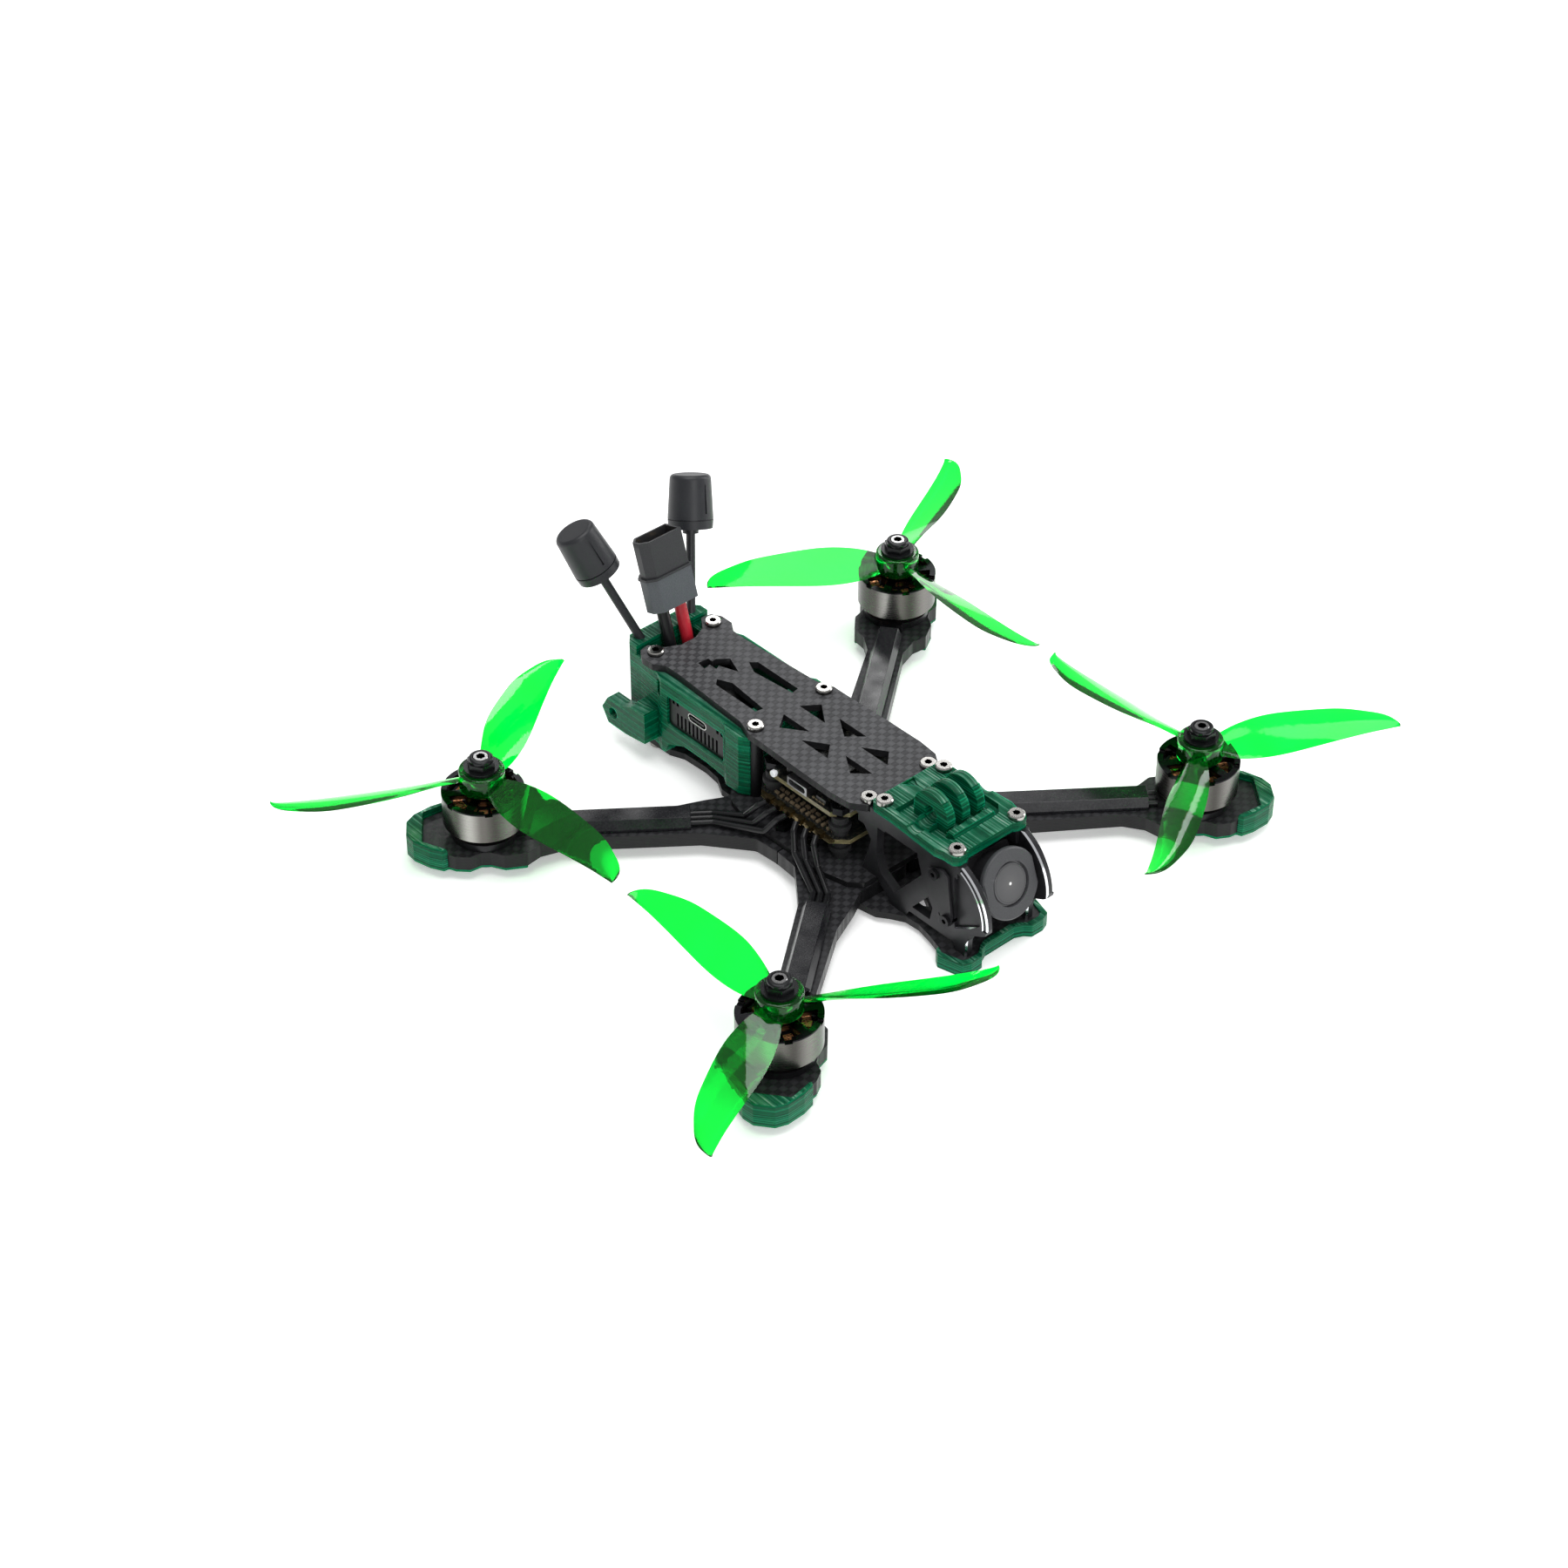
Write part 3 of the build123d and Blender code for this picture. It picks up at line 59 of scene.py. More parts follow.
# ---------------------------------------------------------------- material helpers
class Material:
    """A principled material whose node graph is built up by short calls."""

    def __init__(self, name, color, rough, metal=0.0, **sockets):
        self.data = bpy.data.materials.new(name)
        self.data.use_nodes = True
        self.tree = self.data.node_tree
        self.shader = self.tree.nodes["Principled BSDF"]
        self.shader.inputs["Base Color"].default_value = (*color, 1.0)
        self.shader.inputs["Roughness"].default_value = rough
        self.shader.inputs["Metallic"].default_value = metal
        for key, value in sockets.items():
            self.shader.inputs[key.replace("_", " ")].default_value = value
        self.data.diffuse_color = (*color, 1.0)

    def node(self, kind, **settings):
        made = self.tree.nodes.new("ShaderNode" + kind)
        for key, value in settings.items():
            setattr(made, key, value)
        return made

    def wire(self, value, socket):
        if isinstance(value, bpy.types.NodeSocket):
            self.tree.links.new(value, socket)
        else:
            socket.default_value = value

    def math(self, operation, a, b=0.0, c=0.0, clamp=False):
        made = self.node("Math", operation=operation, use_clamp=clamp)
        self.wire(a, made.inputs[0])
        self.wire(b, made.inputs[1])
        self.wire(c, made.inputs[2])
        return made.outputs[0]

    def place(self):
        """Position in the part's own frame, in metres, as three sockets."""
        made = self.node("SeparateXYZ")
        self.wire(self.node("TexCoord").outputs["Object"], made.inputs[0])
        return made.outputs[0], made.outputs[1], made.outputs[2]

    def facing(self, axis):
        """How squarely the surface faces an axis, 0 to 1, as a socket."""
        made = self.node("SeparateXYZ")
        self.wire(self.node("NewGeometry").outputs["True Normal"], made.inputs[0])
        return self.math("ABSOLUTE", made.outputs["XYZ".index(axis)])

    def noise(self, size, stretch=(1, 1, 1), detail=2.0, rough=0.5, at=None):
        """Cloudy value 0 to 1 with features of about this size in metres."""
        made = self.node("TexNoise")
        scaled = self.node("VectorMath", operation="MULTIPLY")
        self.wire(at if at is not None else self.node("TexCoord").outputs["Object"], scaled.inputs[0])
        scaled.inputs[1].default_value = stretch
        self.wire(scaled.outputs[0], made.inputs["Vector"])
        made.inputs["Scale"].default_value = 1.0 / size
        made.inputs["Detail"].default_value = detail
        made.inputs["Roughness"].default_value = rough
        return made.outputs["Fac"]

    def waves(self, along, period):
        """Even ripple 0 to 1 along a socket, with this period in metres."""
        turned = self.math("MULTIPLY", along, 2 * math.pi / period)
        return self.math("MULTIPLY_ADD", self.math("SINE", turned), 0.5, 0.5)

    def band(self, along, period):
        """A different value from 0 to 1 for every band of this width along a socket."""
        made = self.node("TexWhiteNoise", noise_dimensions="1D")
        self.wire(self.math("FLOOR", self.math("DIVIDE", along, period)), made.inputs["W"])
        return made.outputs["Value"]

    def shelter(self, reach):
        """How open the surface is within a short reach: 0 deep in a recess, 1 in the open."""
        made = self.node("AmbientOcclusion", samples=8)
        made.inputs["Distance"].default_value = reach
        return made.outputs["AO"]

    def toward(self, direction):
        """How far the surface turns towards a direction, -1 to 1."""
        made = self.node("VectorMath", operation="DOT_PRODUCT")
        self.wire(self.node("NewGeometry").outputs["Normal"], made.inputs[0])
        made.inputs[1].default_value = direction
        return made.outputs["Value"]

    def between(self, value, low, high):
        """1 where a value lies between two limits, else 0."""
        above = self.math("GREATER_THAN", value, low)
        return self.math("MULTIPLY", above, self.math("LESS_THAN", value, high))

    def metal(self, value):
        self.wire(value, self.shader.inputs["Metallic"])
        return self

    def ramp(self, value, *stops, smooth=False):
        """Colour from a value, through (position, colour) stops."""
        made = self.node("ValToRGB")
        made.color_ramp.interpolation = "EASE" if smooth else "LINEAR"
        band = made.color_ramp.elements
        while len(band) < len(stops):
            band.new(0.5)
        for element, (spot, color) in zip(band, stops):
            element.position = spot
            element.color = (*color, 1.0) if len(color) == 3 else color
        self.wire(value, made.inputs[0])
        return made.outputs[0]

    def span(self, value, low, high, to_low=0.0, to_high=1.0):
        """Linear change of range, clamped."""
        made = self.node("MapRange", clamp=True)
        self.wire(value, made.inputs["Value"])
        made.inputs["From Min"].default_value = low
        made.inputs["From Max"].default_value = high
        made.inputs["To Min"].default_value = to_low
        made.inputs["To Max"].default_value = to_high
        return made.outputs["Result"]

    def mix(self, amount, a, b, blend="MIX"):
        made = self.node("Mix", data_type="RGBA", blend_type=blend)
        self.wire(amount, made.inputs[0])
        for value, socket in ((a, made.inputs[6]), (b, made.inputs[7])):
            self.wire((*value, 1.0) if isinstance(value, tuple) else value, socket)
        return made.outputs[2]

    def color(self, value):
        self.wire(value, self.shader.inputs["Base Color"])
        return self

    def rough(self, value):
        self.wire(value, self.shader.inputs["Roughness"])
        return self

    def bump(self, height, depth, strength=1.0):
        """Raised detail, with its depth in metres."""
        made = self.node("Bump")
        made.inputs["Strength"].default_value = strength
        made.inputs["Distance"].default_value = depth
        self.wire(height, made.inputs["Height"])
        self.wire(made.outputs[0], self.shader.inputs["Normal"])
        return self


def paint(piece, *materials):
    """Give a piece these materials in its slots."""
    piece.data.materials.clear()
    for material in materials:
        piece.data.materials.append(material.data)
    return piece


# ---------------------------------------------------------------- materials
def carbon(name, pitch, light, dark, rough=0.42):
    """Woven carbon plate: twill on its flat faces, stacked plies on its cut edges."""
    m = Material(name, dark, rough, Specular_IOR_Level=0.22)
    x, y, z = m.place()
    u = m.math("DIVIDE", x, pitch)
    v = m.math("DIVIDE", y, pitch)
    i = m.math("FLOOR", u)
    j = m.math("FLOOR", v)
    over = m.math("LESS_THAN", m.math("FLOORED_MODULO", m.math("ADD", i, j), 2.0), 0.5)
    across = m.math("PINGPONG", u, 0.5)
    down = m.math("PINGPONG", v, 0.5)
    crown = m.math("ADD", m.math("MULTIPLY", over, across),
                   m.math("MULTIPLY", m.math("SUBTRACT", 1.0, over), down))
    cloud = m.noise(0.007, detail=1.0)
    strands = m.noise(0.0004, (1.0, 0.15, 1.0), detail=1.0)
    tone = m.math("MULTIPLY_ADD", over, 0.50, m.math("MULTIPLY", crown, 0.35))
    tone = m.math("MULTIPLY_ADD", cloud, 0.40, tone)
    tone = m.math("MULTIPLY_ADD", strands, 0.18, m.math("SUBTRACT", tone, 0.2))
    face = m.ramp(tone, (0.0, dark), (0.85, light))
    plies = m.waves(z, 0.0005)
    grain = m.noise(0.0009, (0.2, 0.2, 3.0))
    edge = m.ramp(m.math("MULTIPLY_ADD", plies, 0.4, m.math("MULTIPLY", grain, 0.6)),
                  (0.25, tuple(0.4 * c for c in dark)), (0.8, tuple(1.1 * c for c in dark)))
    flat = m.math("GREATER_THAN", m.facing("Z"), 0.7)
    m.color(m.mix(flat, edge, face))
    m.rough(m.math("MULTIPLY_ADD", over, 0.12, rough - 0.06))
    hills = m.math("MULTIPLY", flat, crown)
    m.bump(m.math("ADD", hills, m.math("MULTIPLY", m.math("SUBTRACT", 1.0, flat), plies)), 0.00003, 0.6)
    return m


def printed(name):
    """Flexible translucent filament print: layer lines on the walls, raster strokes on the flats; the flats
    are also painted paler grey-green as a painted highlight.
    """
    m = Material(name, (0.0, 0.10, 0.045), 0.25, IOR=1.42, Transmission_Weight=0.10, Specular_IOR_Level=0.08,
                 Subsurface_Weight=0.4, Subsurface_Radius=(0.2, 1.0, 0.55), Subsurface_Scale=0.004)
    x, _, z = m.place()
    layer = 0.0004
    stroke = 0.0005
    wall_band = m.band(z, layer)
    wall_break = m.noise(0.0016, (0.12, 0.12, 2.4), detail=3.0, rough=0.7)
    wall_tone = m.math("MULTIPLY_ADD", wall_band, 0.55, m.math("MULTIPLY", wall_break, 0.45))
    wall = m.ramp(wall_tone, (0.20, (0.0, 0.045, 0.020)), (0.48, (0.0, 0.105, 0.046)),
                  (0.68, (0.0, 0.155, 0.070)), (0.86, (0.012, 0.23, 0.12)))
    flat_band = m.band(x, stroke)
    flat_break = m.noise(0.0022, (1.2, 0.22, 1.0), detail=3.0, rough=0.7)
    patch = m.noise(0.006, detail=1.0)
    flat_tone = m.math("MULTIPLY_ADD", flat_band, 0.42, m.math("MULTIPLY", flat_break, 0.42))
    flat_tone = m.math("MULTIPLY_ADD", patch, 0.4, m.math("SUBTRACT", flat_tone, 0.08))
    # Strokes and patches are the print's own; the pale grey-green upper stops are a painted highlight on the
    # flat faces.
    flat = m.ramp(flat_tone, (0.30, (0.0, 0.050, 0.022)), (0.52, (0.008, 0.105, 0.052)),
                  (0.70, (0.06, 0.20, 0.13)), (0.88, (0.26, 0.40, 0.32)))
    top = m.math("GREATER_THAN", m.facing("Z"), 0.8)
    m.color(m.mix(top, wall, flat))
    m.rough(m.math("MULTIPLY_ADD", wall_band, 0.16, 0.17))
    relief = m.math("ADD", m.math("MULTIPLY", top, m.waves(x, stroke)),
                    m.math("MULTIPLY", m.math("SUBTRACT", 1.0, top), m.waves(z, layer)))
    m.bump(m.math("MULTIPLY_ADD", wall_break, 0.5, relief), 0.00006, 0.7)
    return m


def plain(name, color, rough, metal=0.0, speck=0.0004, depth=0.00001, vary=0.25, **sockets):
    """Moulded or coated surface with fine grain and slow colour drift."""
    m = Material(name, color, rough, metal, **sockets)
    drift = m.noise(0.012, detail=3.0)
    fine = m.noise(speck, detail=2.0)
    low = tuple(a * (1 - vary) for a in color)
    high = tuple(min(1.0, a * (1 + vary)) for a in color)
    tone = m.math("MULTIPLY_ADD", fine, 0.3, m.math("MULTIPLY", drift, 0.7))
    m.color(m.ramp(tone, (0.3, low), (0.7, high)))
    m.rough(m.span(drift, 0.3, 0.7, max(0.02, rough - 0.05), min(1.0, rough + 0.06)))
    m.bump(fine, depth, 0.5)
    return m


def anodised(name):
    """Black anodised aluminium, cut bare along its chamfers."""
    m = Material(name, (0.016, 0.016, 0.018), 0.34, 0.4, Specular_IOR_Level=0.4)
    bare = m.between(m.facing("X"), 0.62, 0.80)
    drift = m.noise(0.008, detail=3.0)
    blasted = m.noise(0.0002)
    coat = m.ramp(drift, (0.3, (0.012, 0.012, 0.014)), (0.7, (0.026, 0.026, 0.029)))
    m.color(m.mix(bare, coat, (0.90, 0.92, 0.96)))
    m.metal(m.math("MULTIPLY_ADD", bare, 0.6, 0.4))
    m.rough(m.math("MULTIPLY_ADD", bare, -0.22, 0.36))
    m.bump(m.math("MULTIPLY", blasted, m.math("SUBTRACT", 1.0, bare)), 0.000008, 0.5)
    return m


def bright_steel(name, color, recess, reach=0.0016):
    """Polished steel with painted shade: it goes dark down in its sockets and close to other parts, from
    ambient occlusion.
    """
    m = Material(name, color, 0.16, 1.0)
    turned = m.noise(0.0003, (1, 1, 0.3), detail=2.0)
    # Painted shade: the recess colour takes over wherever ambient occlusion finds the surface sheltered.
    unshaded_part = m.span(m.shelter(reach), 0.55, 0.93)
    steel = m.ramp(turned, (0.3, tuple(0.86 * c for c in color)), (0.7, color))
    m.color(m.mix(unshaded_part, recess, steel))
    m.rough(m.math("MULTIPLY_ADD", turned, 0.10, 0.13))
    m.bump(turned, 0.000002, 0.4)
    return m


def bell_metal():
    """Turned gunmetal: black above the shoulder and inside, brushed wall with painted highlights and painted
    shade in bands across it, by which way the wall faces.
    """
    m = Material("bell_metal", (0.30, 0.29, 0.275), 0.27, 1.0, Anisotropic=0.4)
    _, _, z = m.place()
    turned = m.noise(0.0006, (0.06, 0.06, 4.0), detail=3.0)
    high = m.math("GREATER_THAN", z, BELL_SHOULDER)
    dark = m.math("MAXIMUM", high, m.math("GREATER_THAN", m.facing("Z"), 0.5))
    # Painted highlight and shade: the wall's colour runs through light and dark bands by how far it faces one
    # fixed direction.
    across = m.span(m.toward((0.744, -0.668, 0.0)), -1.0, 1.0)
    painted_sheen = m.ramp(across, (0.0, (0.04, 0.038, 0.036)), (0.20, (0.085, 0.080, 0.074)),
                   (0.36, (0.40, 0.39, 0.37)), (0.52, (0.125, 0.117, 0.108)), (0.66, (0.052, 0.048, 0.044)),
                   (0.84, (0.20, 0.19, 0.18)), (1.0, (0.065, 0.062, 0.058)), smooth=True)
    wall = m.mix(m.math("MULTIPLY", turned, 0.45), painted_sheen, (0.10, 0.098, 0.092))
    m.color(m.mix(dark, wall, (0.014, 0.014, 0.016)))
    m.rough(m.math("MULTIPLY_ADD", turned, 0.14, 0.2))
    m.bump(turned, 0.000004, 0.4)
    return m


def copper_wire():
    """Enamelled winding, single turns shown by ridges, with painted shade in the grooves between them."""
    m = Material("enamelled_copper", (0.62, 0.25, 0.10), 0.28, 0.85)
    _, _, z = m.place()
    across = m.noise(0.0009, (1, 1, 0.4), detail=0.0)
    turns = m.waves(m.math("ADD", z, m.math("MULTIPLY", across, 0.0008)), 0.00055)
    # Painted shade: the colour goes dark brown in the troughs between turns.
    m.color(m.ramp(turns, (0.1, (0.16, 0.05, 0.02)), (0.75, (0.72, 0.32, 0.14))))
    m.bump(turns, 0.0001, 0.9)
    return m


def prop_plastic():
    """Clear saturated green polycarbonate."""
    m = Material("green_clear", (0.0, 0.80, 0.05), 0.05, IOR=1.36, Transmission_Weight=0.97)
    drift = m.noise(0.02, detail=1.0)
    m.color(m.ramp(drift, (0.3, (0.0, 0.74, 0.045)), (0.7, (0.0, 0.84, 0.06))))
    m.rough(m.span(drift, 0.3, 0.7, 0.03, 0.07))
    return m


def board_black():
    """Black circuit board: tan cut edge, gilt pads, plated socket shell, faint traces on its faces."""
    m = Material("board_black", (0.010, 0.011, 0.011), 0.3)
    x, y, z = m.place()
    level = m.math("MAXIMUM", m.between(z, *UPPER_BOARD), m.between(z, *LOWER_BOARD))
    rim = m.math("MULTIPLY", level, m.math("LESS_THAN", m.facing("Z"), 0.5))
    lines = m.noise(0.0008, (1, 1, 1), detail=0.0)
    trace = m.math("GREATER_THAN", lines, 0.62)
    face = m.mix(trace, (0.008, 0.009, 0.009), (0.045, 0.042, 0.03))
    cut = m.ramp(m.noise(0.0006, (0.3, 0.3, 3.0)), (0.3, (0.07, 0.058, 0.024)), (0.7, (0.22, 0.19, 0.10)))
    outward = m.math("ABSOLUTE", x)
    pads = m.math("MULTIPLY", m.between(outward, 0.01905, 0.0214), m.between(z, 0.0187, 0.0210))
    shell = m.math("MULTIPLY", m.between(x, -0.0187, -0.0114), m.between(z, 0.02861, 0.0320))
    shell = m.math("MULTIPLY", shell, m.between(y, -0.0036, 0.0056))
    plated = m.math("MAXIMUM", pads, shell)
    body = m.mix(rim, face, cut)
    m.color(m.mix(shell, m.mix(pads, body, (0.22, 0.165, 0.08)), (0.42, 0.42, 0.43)))
    m.metal(plated)
    m.bump(trace, 0.00002, 0.5)
    return m


def sleeve_shine():
    """Dark glossy shrink sleeve with soft ripples."""
    m = Material("arm_sleeve", (0.010, 0.010, 0.012), 0.2, Specular_IOR_Level=0.28)
    ripple = m.noise(0.006, (1, 1, 1), detail=1.0)
    fine = m.noise(0.0007, detail=2.0)
    m.color(m.ramp(fine, (0.3, (0.006, 0.006, 0.008)), (0.7, (0.015, 0.015, 0.017))))
    m.rough(m.span(ripple, 0.3, 0.7, 0.14, 0.26))
    m.bump(ripple, 0.00008, 0.35)
    return m


PLUG_FOOT = Vector((0, *LEAD_ROUTE[-1][1:]))
PLUG_UP = (PLUG_FOOT - Vector((0, *LEAD_ROUTE[-2][1:]))).normalized()


def plug_plastic():
    """Moulded plug: near-black above its flange, grey sleeve below."""
    m = Material("plug_plastic", (0.03, 0.031, 0.034), 0.36, Specular_IOR_Level=0.35)
    _, y, z = m.place()
    up = m.math("ADD", m.math("MULTIPLY", m.math("SUBTRACT", y, PLUG_FOOT.y), PLUG_UP.y),
                m.math("MULTIPLY", m.math("SUBTRACT", z, PLUG_FOOT.z), PLUG_UP.z))
    upper = m.math("GREATER_THAN", up, PLUG_FLANGE)
    grain = m.noise(0.0003)
    sleeve = m.ramp(grain, (0.3, (0.055, 0.062, 0.070)), (0.7, (0.080, 0.088, 0.098)))
    shell = m.ramp(grain, (0.3, (0.016, 0.017, 0.019)), (0.7, (0.026, 0.027, 0.030)))
    m.color(m.mix(upper, sleeve, shell))
    m.bump(grain, 0.000008, 0.5)
    return m


TILT_SPOT = Vector((0, -0.0605, 0.0225))
LOOK = Vector((0, -math.cos(math.radians(20)), math.sin(math.radians(20))))


def along_lens(m):
    """Distance forward along the lens axis from the tilt pivot, and distance out from that axis."""
    x, y, z = m.place()
    y = m.math("SUBTRACT", y, TILT_SPOT.y)
    z = m.math("SUBTRACT", z, TILT_SPOT.z)
    ahead = m.math("ADD", m.math("MULTIPLY", y, LOOK.y), m.math("MULTIPLY", z, LOOK.z))
    rise = m.math("ADD", m.math("MULTIPLY", y, LOOK.z), m.math("MULTIPLY", z, -LOOK.y))
    out = m.math("SQRT", m.math("ADD", m.math("MULTIPLY", x, x), m.math("MULTIPLY", rise, rise)))
    return ahead, out


def camera_plastic():
    """Camera housing: black case behind, lighter charcoal bezel in front."""
    m = Material("camera_housing", (0.02, 0.02, 0.022), 0.42, Specular_IOR_Level=0.3)
    ahead, _ = along_lens(m)
    bezel = m.math("GREATER_THAN", ahead, BEZEL_START)
    grain = m.noise(0.00025)
    front = m.ramp(grain, (0.3, (0.032, 0.033, 0.036)), (0.7, (0.050, 0.051, 0.055)))
    case = m.ramp(grain, (0.3, (0.008, 0.008, 0.009)), (0.7, (0.016, 0.016, 0.018)))
    m.color(m.mix(bezel, case, front))
    m.rough(m.span(grain, 0.3, 0.7, 0.36, 0.5))
    m.bump(grain, 0.00001, 0.5)
    return m


def lens_coating():
    """Recessed lens: grey coated glass inside a dark line, with a painted highlight as a bright point at its
    middle.
    """
    m = Material("lens_glass", (0.10, 0.10, 0.105), 0.12, IOR=1.52, Specular_IOR_Level=0.4)
    _, out = along_lens(m)
    # The two brightest stops at the centre paint a highlight; the glass gets darker towards its rim.
    rings_and_highlight = m.ramp(m.span(out, 0.0, 0.0072), (0.0, (0.95, 0.95, 0.95)), (0.045, (0.80, 0.80, 0.80)),
                   (0.085, (0.062, 0.062, 0.062)), (0.45, (0.046, 0.046, 0.049)),
                   (0.78, (0.036, 0.037, 0.039)), (0.83, (0.012, 0.012, 0.014)),
                   (0.88, (0.055, 0.056, 0.06)), (1.0, (0.03, 0.03, 0.033)))
    haze = m.noise(0.004, detail=2.0)
    m.color(m.mix(m.math("MULTIPLY", haze, 0.3), rings_and_highlight, (0.048, 0.048, 0.050)))
    m.rough(m.span(haze, 0.3, 0.7, 0.08, 0.2))
    return m


top_carbon = carbon("carbon_top", 0.0021, (0.078, 0.079, 0.083), (0.018, 0.018, 0.020), 0.46)
arm_carbon = carbon("carbon_arms", 0.0021, (0.030, 0.030, 0.033), (0.009, 0.009, 0.010), 0.36)
low_carbon = carbon("carbon_plates", 0.0021, (0.034, 0.034, 0.037), (0.010, 0.010, 0.011), 0.38)
print_green = printed("green_print")
black_anodised = anodised("black_anodised")
post_black = plain("post_black", (0.014, 0.014, 0.016), 0.34, 0.5, speck=0.0002, depth=0.000006)
base_metal = plain("motor_base_metal", (0.014, 0.014, 0.016), 0.38, 0.6)
nut_black = plain("black_nut", (0.010, 0.011, 0.012), 0.25, 0.6, depth=0.000003, Specular_IOR_Level=0.5)
oxide = plain("black_oxide", (0.016, 0.016, 0.018), 0.3, 0.8, depth=0.000003)
# The last colour given to each steel is its painted shade for sockets.
polished = bright_steel("polished_steel", (0.44, 0.43, 0.41), (0.010, 0.009, 0.008))
shaft_steel = bright_steel("shaft_steel", (0.30, 0.30, 0.30), (0.006, 0.006, 0.006))
rubber = plain("soft_rubber", (0.012, 0.012, 0.013), 0.6, Specular_IOR_Level=0.3)
camera_case = plain("camera_plastic", (0.014, 0.014, 0.016), 0.42, speck=0.00025, Specular_IOR_Level=0.3)
case_dark = plain("case_dark", (0.008, 0.008, 0.009), 0.36, Specular_IOR_Level=0.3)
button_white = plain("button_white", (0.78, 0.80, 0.83), 0.3, vary=0.05)
silicone_black = plain("silicone_black", (0.006, 0.006, 0.007), 0.28, depth=0.000004, Specular_IOR_Level=0.28)
silicone_red = plain("silicone_red", (0.42, 0.012, 0.025), 0.36, depth=0.000004)
can_dark = plain("can_dark", (0.012, 0.012, 0.018), 0.3)
gold = plain("gold_plate", (0.83, 0.58, 0.26), 0.16, 1.0, depth=0.000001, vary=0.06)
tin = plain("tin_solder", (0.62, 0.62, 0.6), 0.26, 1.0)
ceramic = plain("ceramic_tan", (0.16, 0.12, 0.075), 0.4)
chip_black = plain("chip_black", (0.012, 0.012, 0.013), 0.45)
legend = plain("white_legend", (0.62, 0.62, 0.60), 0.5, vary=0.08)
antenna_skin = plain("antenna_skin", (0.015, 0.016, 0.019), 0.42, speck=0.0003, Specular_IOR_Level=0.35)
lamination = plain("lamination", (0.020, 0.020, 0.022), 0.4, 0.5)
bell_skin = bell_metal()
copper = copper_wire()
prop_green = prop_plastic()
board = board_black()
sleeve = sleeve_shine()
plug_skin = plug_plastic()
housing_skin = camera_plastic()
glass = lens_coating()


# ---------------------------------------------------------------- CAD nodes: finish and softened edges
def soften(name, width, angle=32, segments=2, slot=-1):
    """Small rounded edges on a CAD node, by modifiers only."""
    piece = nodes[name]
    weld = piece.modifiers.new("weld", "WELD")
    weld.merge_threshold = 0.000002
    bevel = piece.modifiers.new("edges", "BEVEL")
    bevel.width = width
    bevel.segments = segments
    bevel.limit_method = "ANGLE"
    bevel.angle_limit = math.radians(angle)
    bevel.harden_normals = True
    bevel.miter_outer = "MITER_ARC"
    bevel.material = slot
    return piece


FINISHES = (
    ("top_plate", top_carbon), ("mid_plate", low_carbon), ("bottom_plate", low_carbon),
    ("arm_covers", sleeve), ("front_bumper", print_green), ("action_cam_mount", print_green),
    ("rear_housing", print_green), ("side_plate_left", black_anodised),
    ("side_plate_right", black_anodised), ("standoffs", post_black), ("frame_screws", polished),
    ("frame_nuts", oxide), ("landing_pads", rubber), ("stack_grommets", rubber),
    ("camera_body", housing_skin), ("camera_brackets", camera_case), ("camera_lens", glass),
    ("camera_screws", oxide), ("air_unit", case_dark), ("fc_board", board), ("esc_board", board),
    ("boot_button", button_white), ("motor_wires", silicone_black), ("lead_black", silicone_black),
    ("lead_red", silicone_red), ("capacitor", can_dark), ("plug_body", plug_skin), ("plug_pins", gold),
    ("antenna_left", antenna_skin), ("antenna_right", antenna_skin), ("motor_coils", copper),
    ("motor_stators", lamination),
)
for name, material in FINISHES:
    paint(nodes[name], material)
for q in QUADRANTS:
    paint(nodes["arm_" + q], arm_carbon)
    paint(nodes["arm_bumper_" + q], print_green)
    paint(nodes["motor_base_" + q], base_metal)
    paint(nodes["bell_" + q], bell_skin)
    paint(nodes["shaft_" + q], shaft_steel)
    paint(nodes["propeller_" + q], prop_green)
    paint(nodes["lock_nut_" + q], nut_black)
for name, width in (("action_cam_mount", 0.00022), ("front_bumper", 0.0003), ("camera_body", 0.00015),
                    ("plug_body", 0.0002), ("top_plate", 0.00015), ("rear_housing", 0.0002),
                    ("arm_covers", 0.0004)):
    soften(name, width)
for q in QUADRANTS:
    soften("arm_bumper_" + q, 0.0003)


# ---------------------------------------------------------------- small parts on the circuit boards
def add_block(mesh, centre, size, slot):
    """One upright box in a mesh, with a material slot."""
    made = bmesh.ops.create_cube(mesh, size=1.0)
    bmesh.ops.scale(mesh, vec=size, verts=made["verts"])
    bmesh.ops.translate(mesh, vec=centre, verts=made["verts"])
    for face in {face for vert in made["verts"] for face in vert.link_faces}:
        face.material_index = slot


def add_chip(mesh, x, y, level, length, width, height, along_y):
    """Ceramic part with a plated cap on each end."""
    turn = (lambda a, b: (b, a)) if along_y else (lambda a, b: (a, b))
    cap = 0.24 * length
    dx, dy = turn(length - 2 * cap, width)
    add_block(mesh, (x, y, level + height / 2), (dx, dy, height), 0)
    for end in (-1, 1):
        sx, sy = turn(end * (length - cap) / 2, 0)
        cx, cy = turn(cap, width * 1.04)
        add_block(mesh, (x + sx, y + sy, level + height * 0.52), (cx, cy, height * 1.04), 1)


def add_package(mesh, x, y, level, side, height, legs):
    """Black package with a row of legs on two sides."""
    add_block(mesh, (x, y, level + height / 2), (side, side, height), 2)
    for end in (-1, 1):
        for leg in range(legs):
            spot = y + (leg - (legs - 1) / 2) * side / legs
            add_block(mesh, (x + end * side * 0.56, spot, level + height * 0.2),
                      (side * 0.16, side * 0.45 / legs, height * 0.4), 1)


